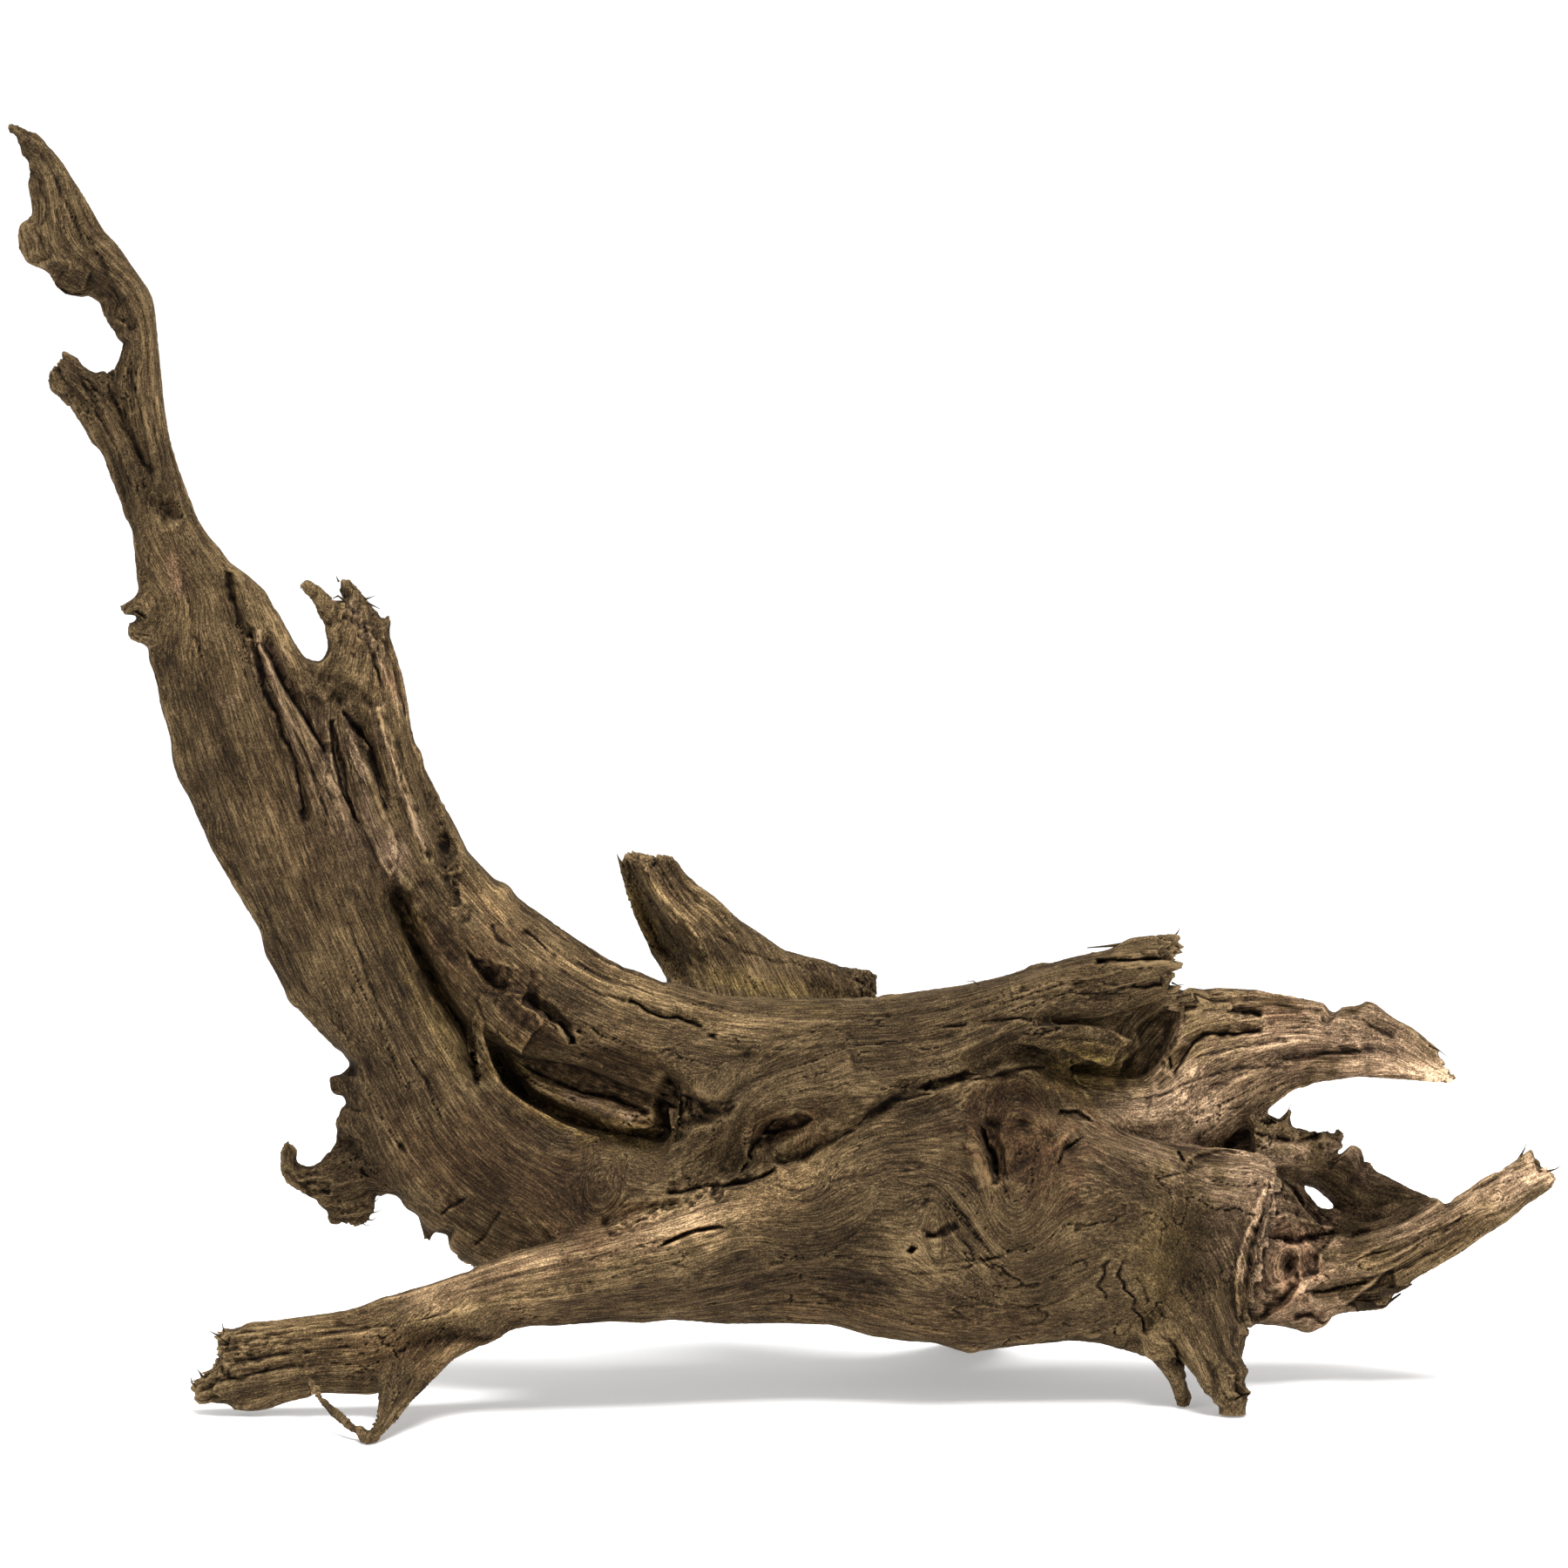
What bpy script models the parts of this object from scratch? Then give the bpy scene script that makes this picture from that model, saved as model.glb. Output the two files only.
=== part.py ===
"""Bogwood: a branching root stump, broken and worn, lying on its roots.

Every limb is a loft. Its ribs are read off the front view: each rib runs from one edge of the limb to the
other, and bulges a stated way to the front and to the back. The limbs are joined, hollowed, rounded and cut
flat where they meet the floor, and the wood is then parted at its main forks.
Metres, +Z up, +X to the right and +Y away from the front view. The origin is on the floor.
"""

import bmesh
import bpy
import numpy as np
from mathutils import Matrix, Vector, noise

MM = 0.001

# The front view: an eye in front of the wood, and a view plane through the origin divided into steps.
VIEW_STEP = MM / 3
VIEW_MIDDLE = (900, 900)
EYE = Vector((0, -2400, 403)) * MM
AIM = Vector((0, 0, 235)) * MM

RING_POINTS = 48
FLUTES_ACROSS = 2.5
FLUTE_SHARE = 0.22
FLUTE_LENGTH = 55 * MM
RIB_SPACING = 6 * MM
LIMB_SEED = 7
VOXEL = 1.3 * MM
FORK_GAP = 0.3 * MM

# A stroke reaches this share past its half width, and fades in over this many half widths at its ends.
STROKE_REACH = 1.5
STROKE_FADE = 3
STROKE_END_SHARE = 0.25
# It works on what faces the eye, and not on a limb that another hides: cells in steps, depth in metres.
FACING_GAIN = 2.5
HIDDEN_CELL = 8
HIDDEN_DEPTH = 16 * MM
TRIANGLES = 7700

LUMP_SIZE = 24 * MM
LUMP_HEIGHT = 1.1 * MM
ORIGIN = Vector((-0.8, -6.4, 0)) * MM

WOOD_COLOUR = (0.16, 0.115, 0.065)
COLOURS = {
    "beak_root": (0.3, 0.22, 0.13),
    "right_root": (0.2, 0.145, 0.08),
    "rear_root": (0.14, 0.105, 0.055),
    "upper_right_branch": (0.13, 0.098, 0.06),
}
WOOD_ROUGHNESS = 0.85

# A rib is (one edge, other edge, depth, bulge to the front, bulge to the back).
# The edges are (steps across, steps down) in the front view, and the rest is in millimetres.
SLAB = [
    ((146, 590), (226, 592), 2, 10, 10),
    ((154, 640), (258, 638), 3, 11, 11),
    ((157, 680), (300, 676), 5, 11, 12),
    ((170, 742), (330, 722), 7, 11, 13),
    ((182, 800), (350, 775), 9, 11, 14),
    ((196, 850), (378, 830), 11, 12, 15),
    ((213, 908), (402, 890), 12, 13, 16),
    ((241, 958), (430, 945), 12, 14, 17),
    ((268, 1012), (446, 1000), 11, 15, 18),
    ((297, 1070), (468, 1050), 10, 16, 19),
    ((318, 1125), (492, 1100), 9, 17, 20),
    ((346, 1160), (516, 1146), 8, 18, 21),
    ((380, 1195), (538, 1186), 6, 19, 22),
    ((402, 1228), (556, 1222), 4, 20, 22),
    ((398, 1290), (590, 1256), 2, 20, 22),
    ((425, 1360), (640, 1284), 0, 20, 24),
    ((490, 1405), (700, 1304), -2, 22, 26),
    ((540, 1450), (760, 1312), -4, 24, 28),
    ((620, 1480), (830, 1310), -4, 26, 30),
    ((720, 1500), (900, 1320), -2, 26, 30),
]
COLUMN = [
    ((378, 730), (448, 722), 14, 9, 11),
    ((372, 765), (458, 765), 14, 10, 13),
    ((350, 815), (470, 815), 14, 11, 14),
    ((360, 870), (484, 868), 14, 11, 16),
    ((385, 935), (513, 930), 14, 12, 18),
    ((412, 1000), (553, 992), 14, 14, 20),
    ((440, 1060), (600, 1036), 13, 16, 22),
    ((478, 1120), (648, 1070), 12, 19, 25),
    ((525, 1170), (700, 1104), 11, 22, 28),
    ((590, 1205), (752, 1124), 10, 25, 30),
    ((670, 1225), (800, 1137), 9, 27, 32),
    ((770, 1265), (855, 1145), 8, 28, 33),
    ((870, 1290), (915, 1146), 6, 28, 34),
    ((960, 1275), (985, 1146), 4, 27, 34),
    ((1050, 1262), (1060, 1138), 2, 25, 32),
    ((1130, 1222), (1140, 1121), 0, 23, 28),
    ((1205, 1176), (1215, 1101), -2, 18, 22),
    ((1275, 1170), (1285, 1080), -4, 16, 19),
    ((1343, 1145), (1354, 1074), -5, 12, 14),
]
HOLLOW_WALL = [
    ((470, 1110), (560, 1060), 22, 4, 5),
    ((500, 1180), (620, 1100), 28, 9, 9),
    ((545, 1270), (700, 1160), 28, 16, 10),
    ((620, 1330), (780, 1180), 26, 20, 10),
    ((720, 1350), (850, 1200), 22, 23, 9),
    ((810, 1340), (900, 1230), 16, 20, 8),
]
TRUNK = [
    ((221, 1586), (226, 1613), -46, 5, 6),
    ((241, 1570), (240, 1613), -47, 8, 9),
    ((248, 1534), (256, 1617), -48, 10, 10),
    ((266, 1524), (272, 1618), -48, 10, 10),
    ((290, 1520), (300, 1617), -50, 10, 11),
    ((350, 1512), (370, 1598), -50, 10, 12),
    ((420, 1500), (450, 1595), -49, 11, 12),
    ((480, 1478), (520, 1550), -47, 12, 13),
    ((540, 1457), (585, 1524), -44, 13, 15),
    ((620, 1430), (640, 1519), -39, 15, 18),
    ((700, 1405), (712, 1515), -33, 18, 22),
    ((780, 1372), (785, 1517), -26, 22, 28),
    ((870, 1335), (870, 1518), -17, 29, 36),
    ((960, 1285), (965, 1521), -9, 36, 44),
    ((1045, 1250), (1045, 1540), -5, 41, 48),
    ((1125, 1235), (1118, 1551), -4, 42, 48),
    ((1210, 1268), (1200, 1537), -7, 39, 46),
    ((1280, 1296), (1270, 1535), -10, 34, 40),
    ((1340, 1316), (1320, 1545), -14, 25, 30),
    ((1390, 1335), (1372, 1560), -15, 15, 20),
    ((1432, 1342), (1398, 1570), -20, 10, 12),
    ((1456, 1345), (1412, 1572), -28, 6, 5),
    ((1466, 1347), (1420, 1572), -38, 2.5, 1.5),
]
CORE = [
    ((760, 1360), (790, 1190), -4, 18, 30),
    ((850, 1350), (865, 1190), -6, 22, 36),
    ((950, 1345), (955, 1180), -7, 24, 40),
    ((1060, 1340), (1060, 1175), -6, 24, 42),
    ((1160, 1340), (1150, 1180), -2, 18, 40),
    ((1240, 1345), (1230, 1235), 4, 12, 26),
    ((1290, 1330), (1285, 1260), 8, 6, 12),
]
FLARE_TOP = [
    ((1290, 1300), (1300, 1440), -4, 24, 26),
    ((1345, 1318), (1345, 1440), -4, 24, 24),
    ((1400, 1320), (1395, 1440), -6, 20, 24),
    ((1445, 1322), (1425, 1440), -6, 20, 20),
    ((1468, 1334), (1446, 1430), -12, 16, 16),
]
BACK_BODY = [
    ((1160, 1310), (1150, 1490), 0, 20, 36),
    ((1260, 1300), (1250, 1505), 8, 28, 34),
    ((1340, 1310), (1330, 1515), 14, 26, 32),
    ((1400, 1318), (1390, 1518), 17, 22, 30),
    ((1450, 1330), (1440, 1520), 20, 18, 26),
    ((1484, 1366), (1474, 1523), 22, 14, 19),
    ((1503, 1400), (1500, 1528), 23, 11, 15),
    ((1545, 1420), (1532, 1512), 24, 8, 11),
]
LEFT_TOE = [
    ((425, 1556), (560, 1528), -50, 11, 11),
    ((429, 1590), (521, 1560), -62, 10, 10),
    ((428, 1613), (491, 1590), -80, 8, 8),
    ((421, 1637), (463, 1622), -97, 6, 6),
    ((411, 1653), (438, 1652), -111, 4.5, 5),
    ((410, 1664), (432, 1666), -115, 4.5, 4.5),
]
TOE_STRIP = [
    ((346, 1563), (355, 1561), -58, 2, 2),
    ((350, 1588), (364, 1582), -65, 2.4, 2.4),
    ((364, 1612), (379, 1603), -80, 2.6, 2.6),
    ((382, 1631), (396, 1620), -93, 2.8, 2.8),
    ((401, 1648), (416, 1636), -105, 3.4, 3.4),
    ((413, 1657), (426, 1645), -112, 4.2, 4.2),
]
POCKET_WALL = [
    ((1060, 1160), (1070, 1250), 14, 8, 12),
    ((1140, 1132), (1150, 1265), 22, 12, 12),
    ((1210, 1115), (1220, 1270), 26, 11, 12),
    ((1290, 1100), (1300, 1280), 27, 9, 11),
    ((1340, 1120), (1350, 1280), 26, 9, 12),
    ((1372, 1142), (1380, 1260), 24, 9, 11),
]
POCKET_TONGUE = [
    ((1130, 1172), (1140, 1230), 2, 14, 16),
    ((1175, 1174), (1180, 1212), 4, 9, 12),
    ((1225, 1176), (1230, 1222), 6, 6, 8),
    ((1270, 1186), (1270, 1214), 8, 3.5, 5),
    ((1304, 1196), (1304, 1201), 9, 1.5, 2),
]
RIGHT_FOOT = [
    ((1310, 1440), (1412, 1440), -16, 12, 14),
    ((1322, 1500), (1419, 1500), -26, 12, 14),
    ((1335, 1540), (1421, 1540), -36, 11, 12),
    ((1358, 1568), (1430, 1562), -45, 9, 9),
    ((1375, 1590), (1437, 1585), -50, 7, 8),
    ((1395, 1612), (1437, 1606), -53, 5, 6),
    ((1400, 1632), (1430, 1630), -54, 4, 5),
]
RIGHT_TOE = [
    ((1300, 1520), (1350, 1520), -28, 10, 10),
    ((1322, 1548), (1360, 1552), -31, 8, 8),
    ((1338, 1572), (1362, 1574), -32, 6, 6),
    ((1347, 1592), (1367, 1590), -33, 5, 5),
    ((1350, 1626), (1368, 1624), -34, 4, 4),
]
LOWER_RIGHT_ROOT = [
    ((1450, 1400), (1440, 1518), 22, 12, 14),
    ((1500, 1420), (1490, 1526), 22, 9, 11),
    ((1545, 1420), (1532, 1510), 20, 8, 9),
    ((1595, 1410), (1590, 1496), 17, 8, 8),
    ((1645, 1382), (1648, 1458), 12, 7, 8),
    ((1695, 1352), (1705, 1416), 6, 6, 7),
    ((1735, 1333), (1748, 1384), 1, 6, 6),
    ((1757, 1324), (1785, 1360), -3, 4, 5),
]
INNER_RIGHT_ROOT = [
    ((1420, 1285), (1400, 1380), 36, 16, 16),
    ((1478, 1302), (1462, 1360), 40, 12, 13),
    ((1530, 1318), (1506, 1361), 42, 8, 10),
    ((1578, 1345), (1543, 1391), 40, 7, 9),
    ((1622, 1366), (1600, 1404), 31, 7, 9),
    ((1662, 1376), (1650, 1425), 20, 7, 8),
    ((1694, 1366), (1684, 1420), 10, 6, 7),
]
INNER_SPUR = [
    ((1468, 1384), (1472, 1410), 33, 5, 6),
    ((1500, 1387), (1502, 1403), 35, 4, 5),
    ((1530, 1388), (1528, 1412), 35, 5, 6),
    ((1575, 1402), (1568, 1420), 31, 5, 6),
    ((1615, 1404), (1612, 1424), 23, 5, 6),
]
BEAK_ROOT = [
    ((1150, 1225), (1160, 1340), 8, 20, 24),
    ((1245, 1233), (1265, 1335), 10, 19, 22),
    ((1318, 1234), (1340, 1328), 12, 17, 20),
    ((1345, 1180), (1380, 1322), 13, 16, 19),
    ((1365, 1139), (1405, 1315), 14, 15, 18),
    ((1425, 1136), (1455, 1275), 14, 12, 16),
    ((1480, 1146), (1500, 1248), 12, 10, 14),
    ((1535, 1160), (1545, 1238), 9, 9, 12),
    ((1572, 1190), (1578, 1236), 7, 8, 10),
    ((1604, 1205), (1607, 1236), 5, 7, 8),
    ((1634, 1213), (1636, 1241), 3, 5.5, 6.5),
    ((1658, 1225), (1660, 1243), 1, 4, 5),
    ((1670, 1234), (1675, 1243), 0, 2.5, 2.5),
]
BEAK_PLATE = [
    ((1498, 1152), (1505, 1215), 10, 8, 11),
    ((1535, 1158), (1545, 1212), 9, 8, 11),
    ((1564, 1150), (1574, 1203), 8, 7, 9),
    ((1584, 1158), (1596, 1193), 7, 5.5, 7),
    ((1612, 1174), (1618, 1193), 6, 4.5, 5),
    ((1640, 1194), (1643, 1203), 5, 3, 3.5),
    ((1655, 1207), (1656, 1211), 4, 2, 2),
]
BEAK_JAW = [
    ((1430, 1262), (1440, 1332), 14, 12, 14),
    ((1468, 1286), (1475, 1340), 18, 8, 10),
    ((1510, 1300), (1512, 1342), 22, 6, 8),
    ((1536, 1298), (1538, 1326), 24, 4.5, 5),
    ((1542, 1289), (1552, 1299), 25, 2.5, 2.5),
]
JAW_SPIKE = [
    ((1455, 1300), (1490, 1296), 17, 6, 7),
    ((1470, 1284), (1486, 1284), 17, 3.5, 4),
    ((1476, 1271), (1482, 1271), 17, 2, 2),
]
REAR_STUB = [
    ((708, 982), (776, 984), 62, 8, 9),
    ((716, 1015), (800, 1018), 64, 10, 11),
    ((730, 1055), (837, 1050), 66, 12, 13),
    ((750, 1100), (895, 1086), 67, 14, 16),
    ((775, 1170), (940, 1150), 60, 17, 20),
    ((815, 1240), (990, 1220), 52, 20, 24),
    ((865, 1320), (1040, 1290), 44, 26, 28),
    ((920, 1400), (1080, 1360), 38, 28, 30),
]
REAR_ARM = [
    ((860, 1070), (830, 1180), 67, 13, 15),
    ((930, 1101), (915, 1175), 68, 10, 13),
    ((985, 1112), (978, 1158), 66, 8, 9),
    ((1012, 1117), (1008, 1148), 65, 5, 6),
]
REAR_LEG = [
    ((960, 1350), (1130, 1340), 40, 26, 24),
    ((1000, 1420), (1160, 1410), 64, 20, 20),
    ((1050, 1475), (1165, 1465), 90, 14, 15),
    ((1080, 1515), (1145, 1508), 112, 11, 11),
    ((1092, 1556), (1132, 1556), 124, 8, 8),
]
CROWN = [
    ((140, 590), (224, 590), 2, 10, 10),
    ((152, 545), (204, 542), 1, 10, 9),
    ((140, 490), (192, 490), -1, 9, 9),
    ((128, 440), (186, 440), -3, 8, 9),
    ((141, 403), (181, 400), -4, 7, 8),
    ((136, 372), (178, 365), -5, 7, 8),
    ((105, 338), (172, 335), -6, 8, 8),
    ((62, 320), (148, 300), -7, 8, 8),
    ((24, 285), (122, 266), -8, 7, 8),
    ((35, 240), (99, 232), -9, 6, 7),
    ((34, 205), (80, 203), -10, 5, 6),
    ((24, 172), (59, 173), -11, 5, 5),
    ((13, 152), (33, 149), -12, 3.5, 3.5),
    ((6, 149), (14, 140), -12, 2.4, 2.4),
]
CROWN_STUB = [
    ((152, 620), (205, 600), 3, 9, 9),
    ((134, 560), (188, 550), 1, 9, 9),
    ((112, 512), (164, 492), -1, 8, 8),
    ((86, 472), (132, 438), -3, 8, 8),
    ((60, 445), (98, 418), -5, 7, 7),
    ((57, 426), (75, 403), -6, 5, 5),
]
HORN = [
    ((366, 765), (425, 775), 12, 9, 10),
    ((376, 738), (414, 730), 11, 7.5, 8),
    ((369, 708), (401, 704), 10, 6.5, 7),
    ((359, 689), (388, 684), 9, 5.5, 6),
    ((349, 679), (376, 670), 8, 4.5, 5),
    ((342, 673), (354, 662), 7, 3, 3),
]
TORN_SPIKE = [
    ((400, 755), (449, 745), 16, 8, 9),
    ((402, 720), (441, 716), 17, 6.5, 7),
    ((398, 697), (430, 692), 18, 5.5, 6),
    ((391, 682), (419, 675), 18, 4.5, 5),
    ((386, 669), (405, 662), 18, 3, 3),
]
TORN_TOOTH = [
    ((428, 748), (453, 747), 15, 6, 6),
    ((434, 724), (453, 726), 15, 4.5, 4.5),
    ((439, 706), (450, 704), 15, 2.6, 2.6),
]
UPPER_SPUR = [
    ((166, 660), (186, 718), 4, 8, 8),
    ((149, 685), (157, 712), 4, 5, 5),
    ((135, 691), (140, 703), 4, 2.6, 2.6),
]
LOWER_SPUR = [
    ((173, 712), (195, 752), 5, 8, 8),
    ((151, 715), (160, 741), 5, 4.5, 4.5),
    ((138, 715), (143, 728), 5, 2.4, 2.4),
]
FIN_HOOK = [
    ((405, 1290), (450, 1372), 4, 10, 12),
    ((383, 1317), (420, 1387), 3, 8, 10),
    ((363, 1334), (388, 1393), 2, 6.5, 8),
    ((340, 1337), (350, 1372), 1, 5, 6),
    ((321, 1344), (341, 1330), 0, 4.5, 5),
    ((320, 1324), (339, 1320), 0, 3.5, 4),
    ((327, 1308), (334, 1310), 0, 2.5, 2.5),
]
FIN_LOBE = [
    ((378, 1350), (440, 1350), 3, 8, 9),
    ((372, 1380), (437, 1374), 3, 6.5, 7),
    ((379, 1404), (427, 1396), 3, 5, 5.5),
    ((389, 1409), (420, 1410), 3, 3, 3),
]
FIN_TOOTH = [
    ((465, 1370), (530, 1370), 1, 9, 9),
    ((478, 1399), (510, 1396), 1, 6, 6),
    ((484, 1426), (500, 1423), 1, 3.2, 3.2),
]
FIN_CORNER = [
    ((505, 1390), (600, 1400), -1, 12, 12),
    ((522, 1422), (566, 1428), -1, 7.5, 7.5),
    ((520, 1448), (547, 1458), -1, 4.5, 4.5),
]
FIN_NUB = [
    ((403, 1222), (415, 1267), 4, 8, 8),
    ((388, 1231), (398, 1262), 4, 5.5, 5.5),
    ((377, 1237), (386, 1256), 4, 3, 3),
]

# Grooves, hollows and pits of the front: points in the front view, half width in steps, depth in millimetres.
# A ridge has a depth below nothing.
FRONT_STROKES = [
    ([(60, 308), (92, 325), (125, 352), (140, 385)], 15, 4),
    ([(120, 442), (140, 480), (165, 530), (178, 545)], 9, 4),
    ([(180, 575), (198, 592)], 15, 4),
    ([(258, 655), (262, 690), (275, 720), (292, 750), (312, 815), (325, 850), (338, 890), (352, 950)], 10, 5),
    ([(302, 720), (320, 768), (342, 805), (365, 850), (374, 885)], 8, 4),
    ([(366, 775), (385, 815), (400, 845)], 26, 5),
    ([(378, 835), (388, 885), (402, 925), (412, 955)], 8, 4),
    ([(396, 818), (412, 840), (432, 885), (448, 930)], 7, 4),
    ([(395, 830), (420, 880), (440, 940), (455, 990)], 9, -3),
    ([(425, 715), (440, 780), (455, 830), (470, 880), (480, 950), (492, 990)], 10, -3),
    ([(490, 912), (505, 960), (512, 1000), (522, 1045)], 10, 5),
    ([(522, 968), (548, 1008), (578, 1048), (602, 1078)], 11, -2.5),
    ([(450, 1015), (465, 1060), (482, 1097), (505, 1140), (525, 1172), (540, 1200), (547, 1240)], 11, 13),
    ([(545, 1095), (565, 1118), (590, 1128)], 18, 7),
    ([(605, 1145), (630, 1165), (645, 1185)], 6, 3),
    ([(562, 1192), (578, 1232), (605, 1262), (650, 1285), (700, 1308), (745, 1312), (795, 1298)], 11, 14),
    ([(605, 1222), (640, 1242), (690, 1258), (750, 1276)], 7, 4),
    ([(700, 1143), (750, 1163), (785, 1170), (820, 1190)], 6, 3),
    ([(800, 1215), (840, 1245)], 34, -5),
    ([(690, 1350), (692, 1352)], 30, -3),
    ([(685, 1412), (740, 1388), (800, 1374), (875, 1352)], 9, 4),
    ([(752, 1433), (790, 1414), (835, 1408)], 7, 3),
    ([(868, 1325), (882, 1303), (905, 1291), (928, 1288)], 13, 10),
    ([(890, 1335), (935, 1325), (970, 1302), (1040, 1252), (1100, 1237), (1160, 1212)], 8, 5),
    ([(1133, 1290), (1140, 1325), (1146, 1362)], 10, 11),
    ([(1160, 1290), (1185, 1318)], 44, 8),
    ([(1112, 1290), (1128, 1340), (1134, 1362)], 10, -3),
    ([(1215, 1278), (1218, 1280)], 11, 5),
    ([(1222, 1335), (1245, 1298), (1300, 1306), (1345, 1320)], 8, 6),
    ([(1345, 1320), (1360, 1342), (1400, 1326), (1462, 1326)], 8, 5),
    ([(1395, 1350), (1378, 1400), (1366, 1450), (1362, 1510)], 34, 6),
    ([(1477, 1442), (1478, 1455)], 11, 7),
    ([(1440, 1412), (1490, 1420), (1538, 1414)], 8, 6),
    ([(1340, 1235), (1355, 1212), (1372, 1193), (1400, 1184), (1450, 1180)], 8, 4),
    ([(1408, 1162), (1450, 1163)], 7, 5),
    ([(1455, 1216), (1500, 1208), (1580, 1208)], 11, 6),
    ([(1440, 1530), (1520, 1462), (1600, 1424), (1700, 1386), (1745, 1376)], 7, -4),
    ([(1490, 1485), (1570, 1475)], 6, 3),
    ([(1345, 1545), (1360, 1578)], 8, 5),
    ([(260, 1560), (330, 1535)], 18, 4),
    ([(440, 1530), (500, 1510), (560, 1500), (640, 1490), (720, 1475), (800, 1460)], 13, -5),
    ([(715, 1000), (745, 1060), (790, 1125)], 18, 7),
    ([(735, 985), (760, 1030), (790, 1060), (812, 1100)], 9, -3),
]
BACK_STROKES = [
    ([(200, 680), (250, 800), (330, 980), (420, 1160)], 16, 6),
    ([(280, 720), (350, 880), (440, 1060), (540, 1200)], 18, 7),
    ([(140, 420), (170, 520), (190, 600)], 12, 4),
    ([(450, 1260), (560, 1330), (700, 1380), (840, 1400)], 26, 8),
    ([(620, 1080), (760, 1170), (900, 1200), (1100, 1190)], 20, 8),
    ([(300, 1560), (450, 1540), (620, 1490), (760, 1460)], 16, 6),
    ([(900, 1450), (1020, 1440), (1060, 1420)], 30, 8),
    ([(1180, 1480), (1260, 1440), (1360, 1400), (1460, 1380)], 30, 9),
    ([(1300, 1250), (1400, 1220), (1520, 1190)], 16, 6),
]

# Where each limb parts from the rest: an outline in the front view, and the depths it runs between (mm).
THROUGH = (-250, 250)
FORKS = {
    "crown_limb": ([(-60, 90), (330, 90), (330, 592), (60, 634)], *THROUGH),
    "torn_spur": (
        [(325, 640), (328, 690), (345, 735), (358, 762), (392, 880), (540, 880), (540, 640)],
        *THROUGH,
    ),
    "rear_root": ([(690, 950), (1040, 950), (1040, 1230), (690, 1230)], 50, 250),
    "rear_leg": ([(900, 1440), (1250, 1440), (1250, 1700), (900, 1700)], 60, 250),
    "upright_branch": ([(100, 500), (700, 500), (700, 968), (100, 1095)], *THROUGH),
    "left_root": ([(150, 1480), (430, 1476), (546, 1456), (590, 1545), (590, 1720), (150, 1720)], *THROUGH),
    "upper_right_branch": (
        [(1110, 1040), (1385, 1040), (1385, 1118), (1352, 1146), (1312, 1172), (1110, 1184)],
        *THROUGH,
    ),
    "beak_root": (
        [(1390, 1090), (1720, 1090), (1720, 1270), (1470, 1270), (1452, 1284), (1362, 1190), (1356, 1145)],
        *THROUGH,
    ),
    "right_root": (
        [(1586, 1330), (1820, 1280), (1820, 1560), (1512, 1560), (1512, 1440), (1548, 1398)],
        *THROUGH,
    ),
}
LIMBS = {
    "slab": SLAB,
    "column": COLUMN,
    "hollow_wall": HOLLOW_WALL,
    "trunk": TRUNK,
    "core": CORE,
    "flare_top": FLARE_TOP,
    "back_body": BACK_BODY,
    "pocket_wall": POCKET_WALL,
    "pocket_tongue": POCKET_TONGUE,
    "inner_spur": INNER_SPUR,
    "left_toe": LEFT_TOE,
    "toe_strip": TOE_STRIP,
    "right_foot": RIGHT_FOOT,
    "right_toe": RIGHT_TOE,
    "lower_right_root": LOWER_RIGHT_ROOT,
    "inner_right_root": INNER_RIGHT_ROOT,
    "beak_root": BEAK_ROOT,
    "beak_jaw": BEAK_JAW,
    "rear_stub": REAR_STUB,
    "rear_arm": REAR_ARM,
    "rear_leg": REAR_LEG,
    "crown": CROWN,
    "crown_stub": CROWN_STUB,
    "horn": HORN,
    "torn_spike": TORN_SPIKE,
    "torn_tooth": TORN_TOOTH,
    "upper_spur": UPPER_SPUR,
    "lower_spur": LOWER_SPUR,
    "fin_hook": FIN_HOOK,
    "fin_lobe": FIN_LOBE,
    "fin_tooth": FIN_TOOTH,
    "fin_corner": FIN_CORNER,
    "fin_nub": FIN_NUB,
    "beak_plate": BEAK_PLATE,
    "jaw_spike": JAW_SPIKE,
}


def clear_scene():
    for obj in list(bpy.data.objects):
        bpy.data.objects.remove(obj)


def seen_at(across, down, depth):
    """The point at this depth (mm) that the front view shows this many steps across and down."""
    forward = (AIM - EYE).normalized()
    up = Vector((1, 0, 0)).cross(forward)
    ray = forward * (AIM - EYE).length
    ray += Vector((1, 0, 0)) * (across - VIEW_MIDDLE[0]) * VIEW_STEP
    ray += up * (VIEW_MIDDLE[1] - down) * VIEW_STEP
    return EYE + ray * ((depth * MM - EYE.y) / ray.y)


def between(ribs, at):
    """The rib at a fractional place along the limb, on a smooth curve through its ribs."""
    index = min(int(at), len(ribs) - 2)
    t = at - index
    before, start = ribs[max(index - 1, 0)], ribs[index]
    end, after = ribs[index + 1], ribs[min(index + 2, len(ribs) - 1)]
    return (
        start * 2 + (end - before) * t
        + (before * 2 - start * 5 + end * 4 - after) * t**2
        + (start * 3 - before - end * 3 + after) * t**3
    ) / 2


def rib_row(rib):
    """A rib as one row of numbers: both edges in metres, then the two bulges."""
    first, last, depth, front, back = rib
    return np.array([*seen_at(*first, depth), *seen_at(*last, depth), front * MM, back * MM])


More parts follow.
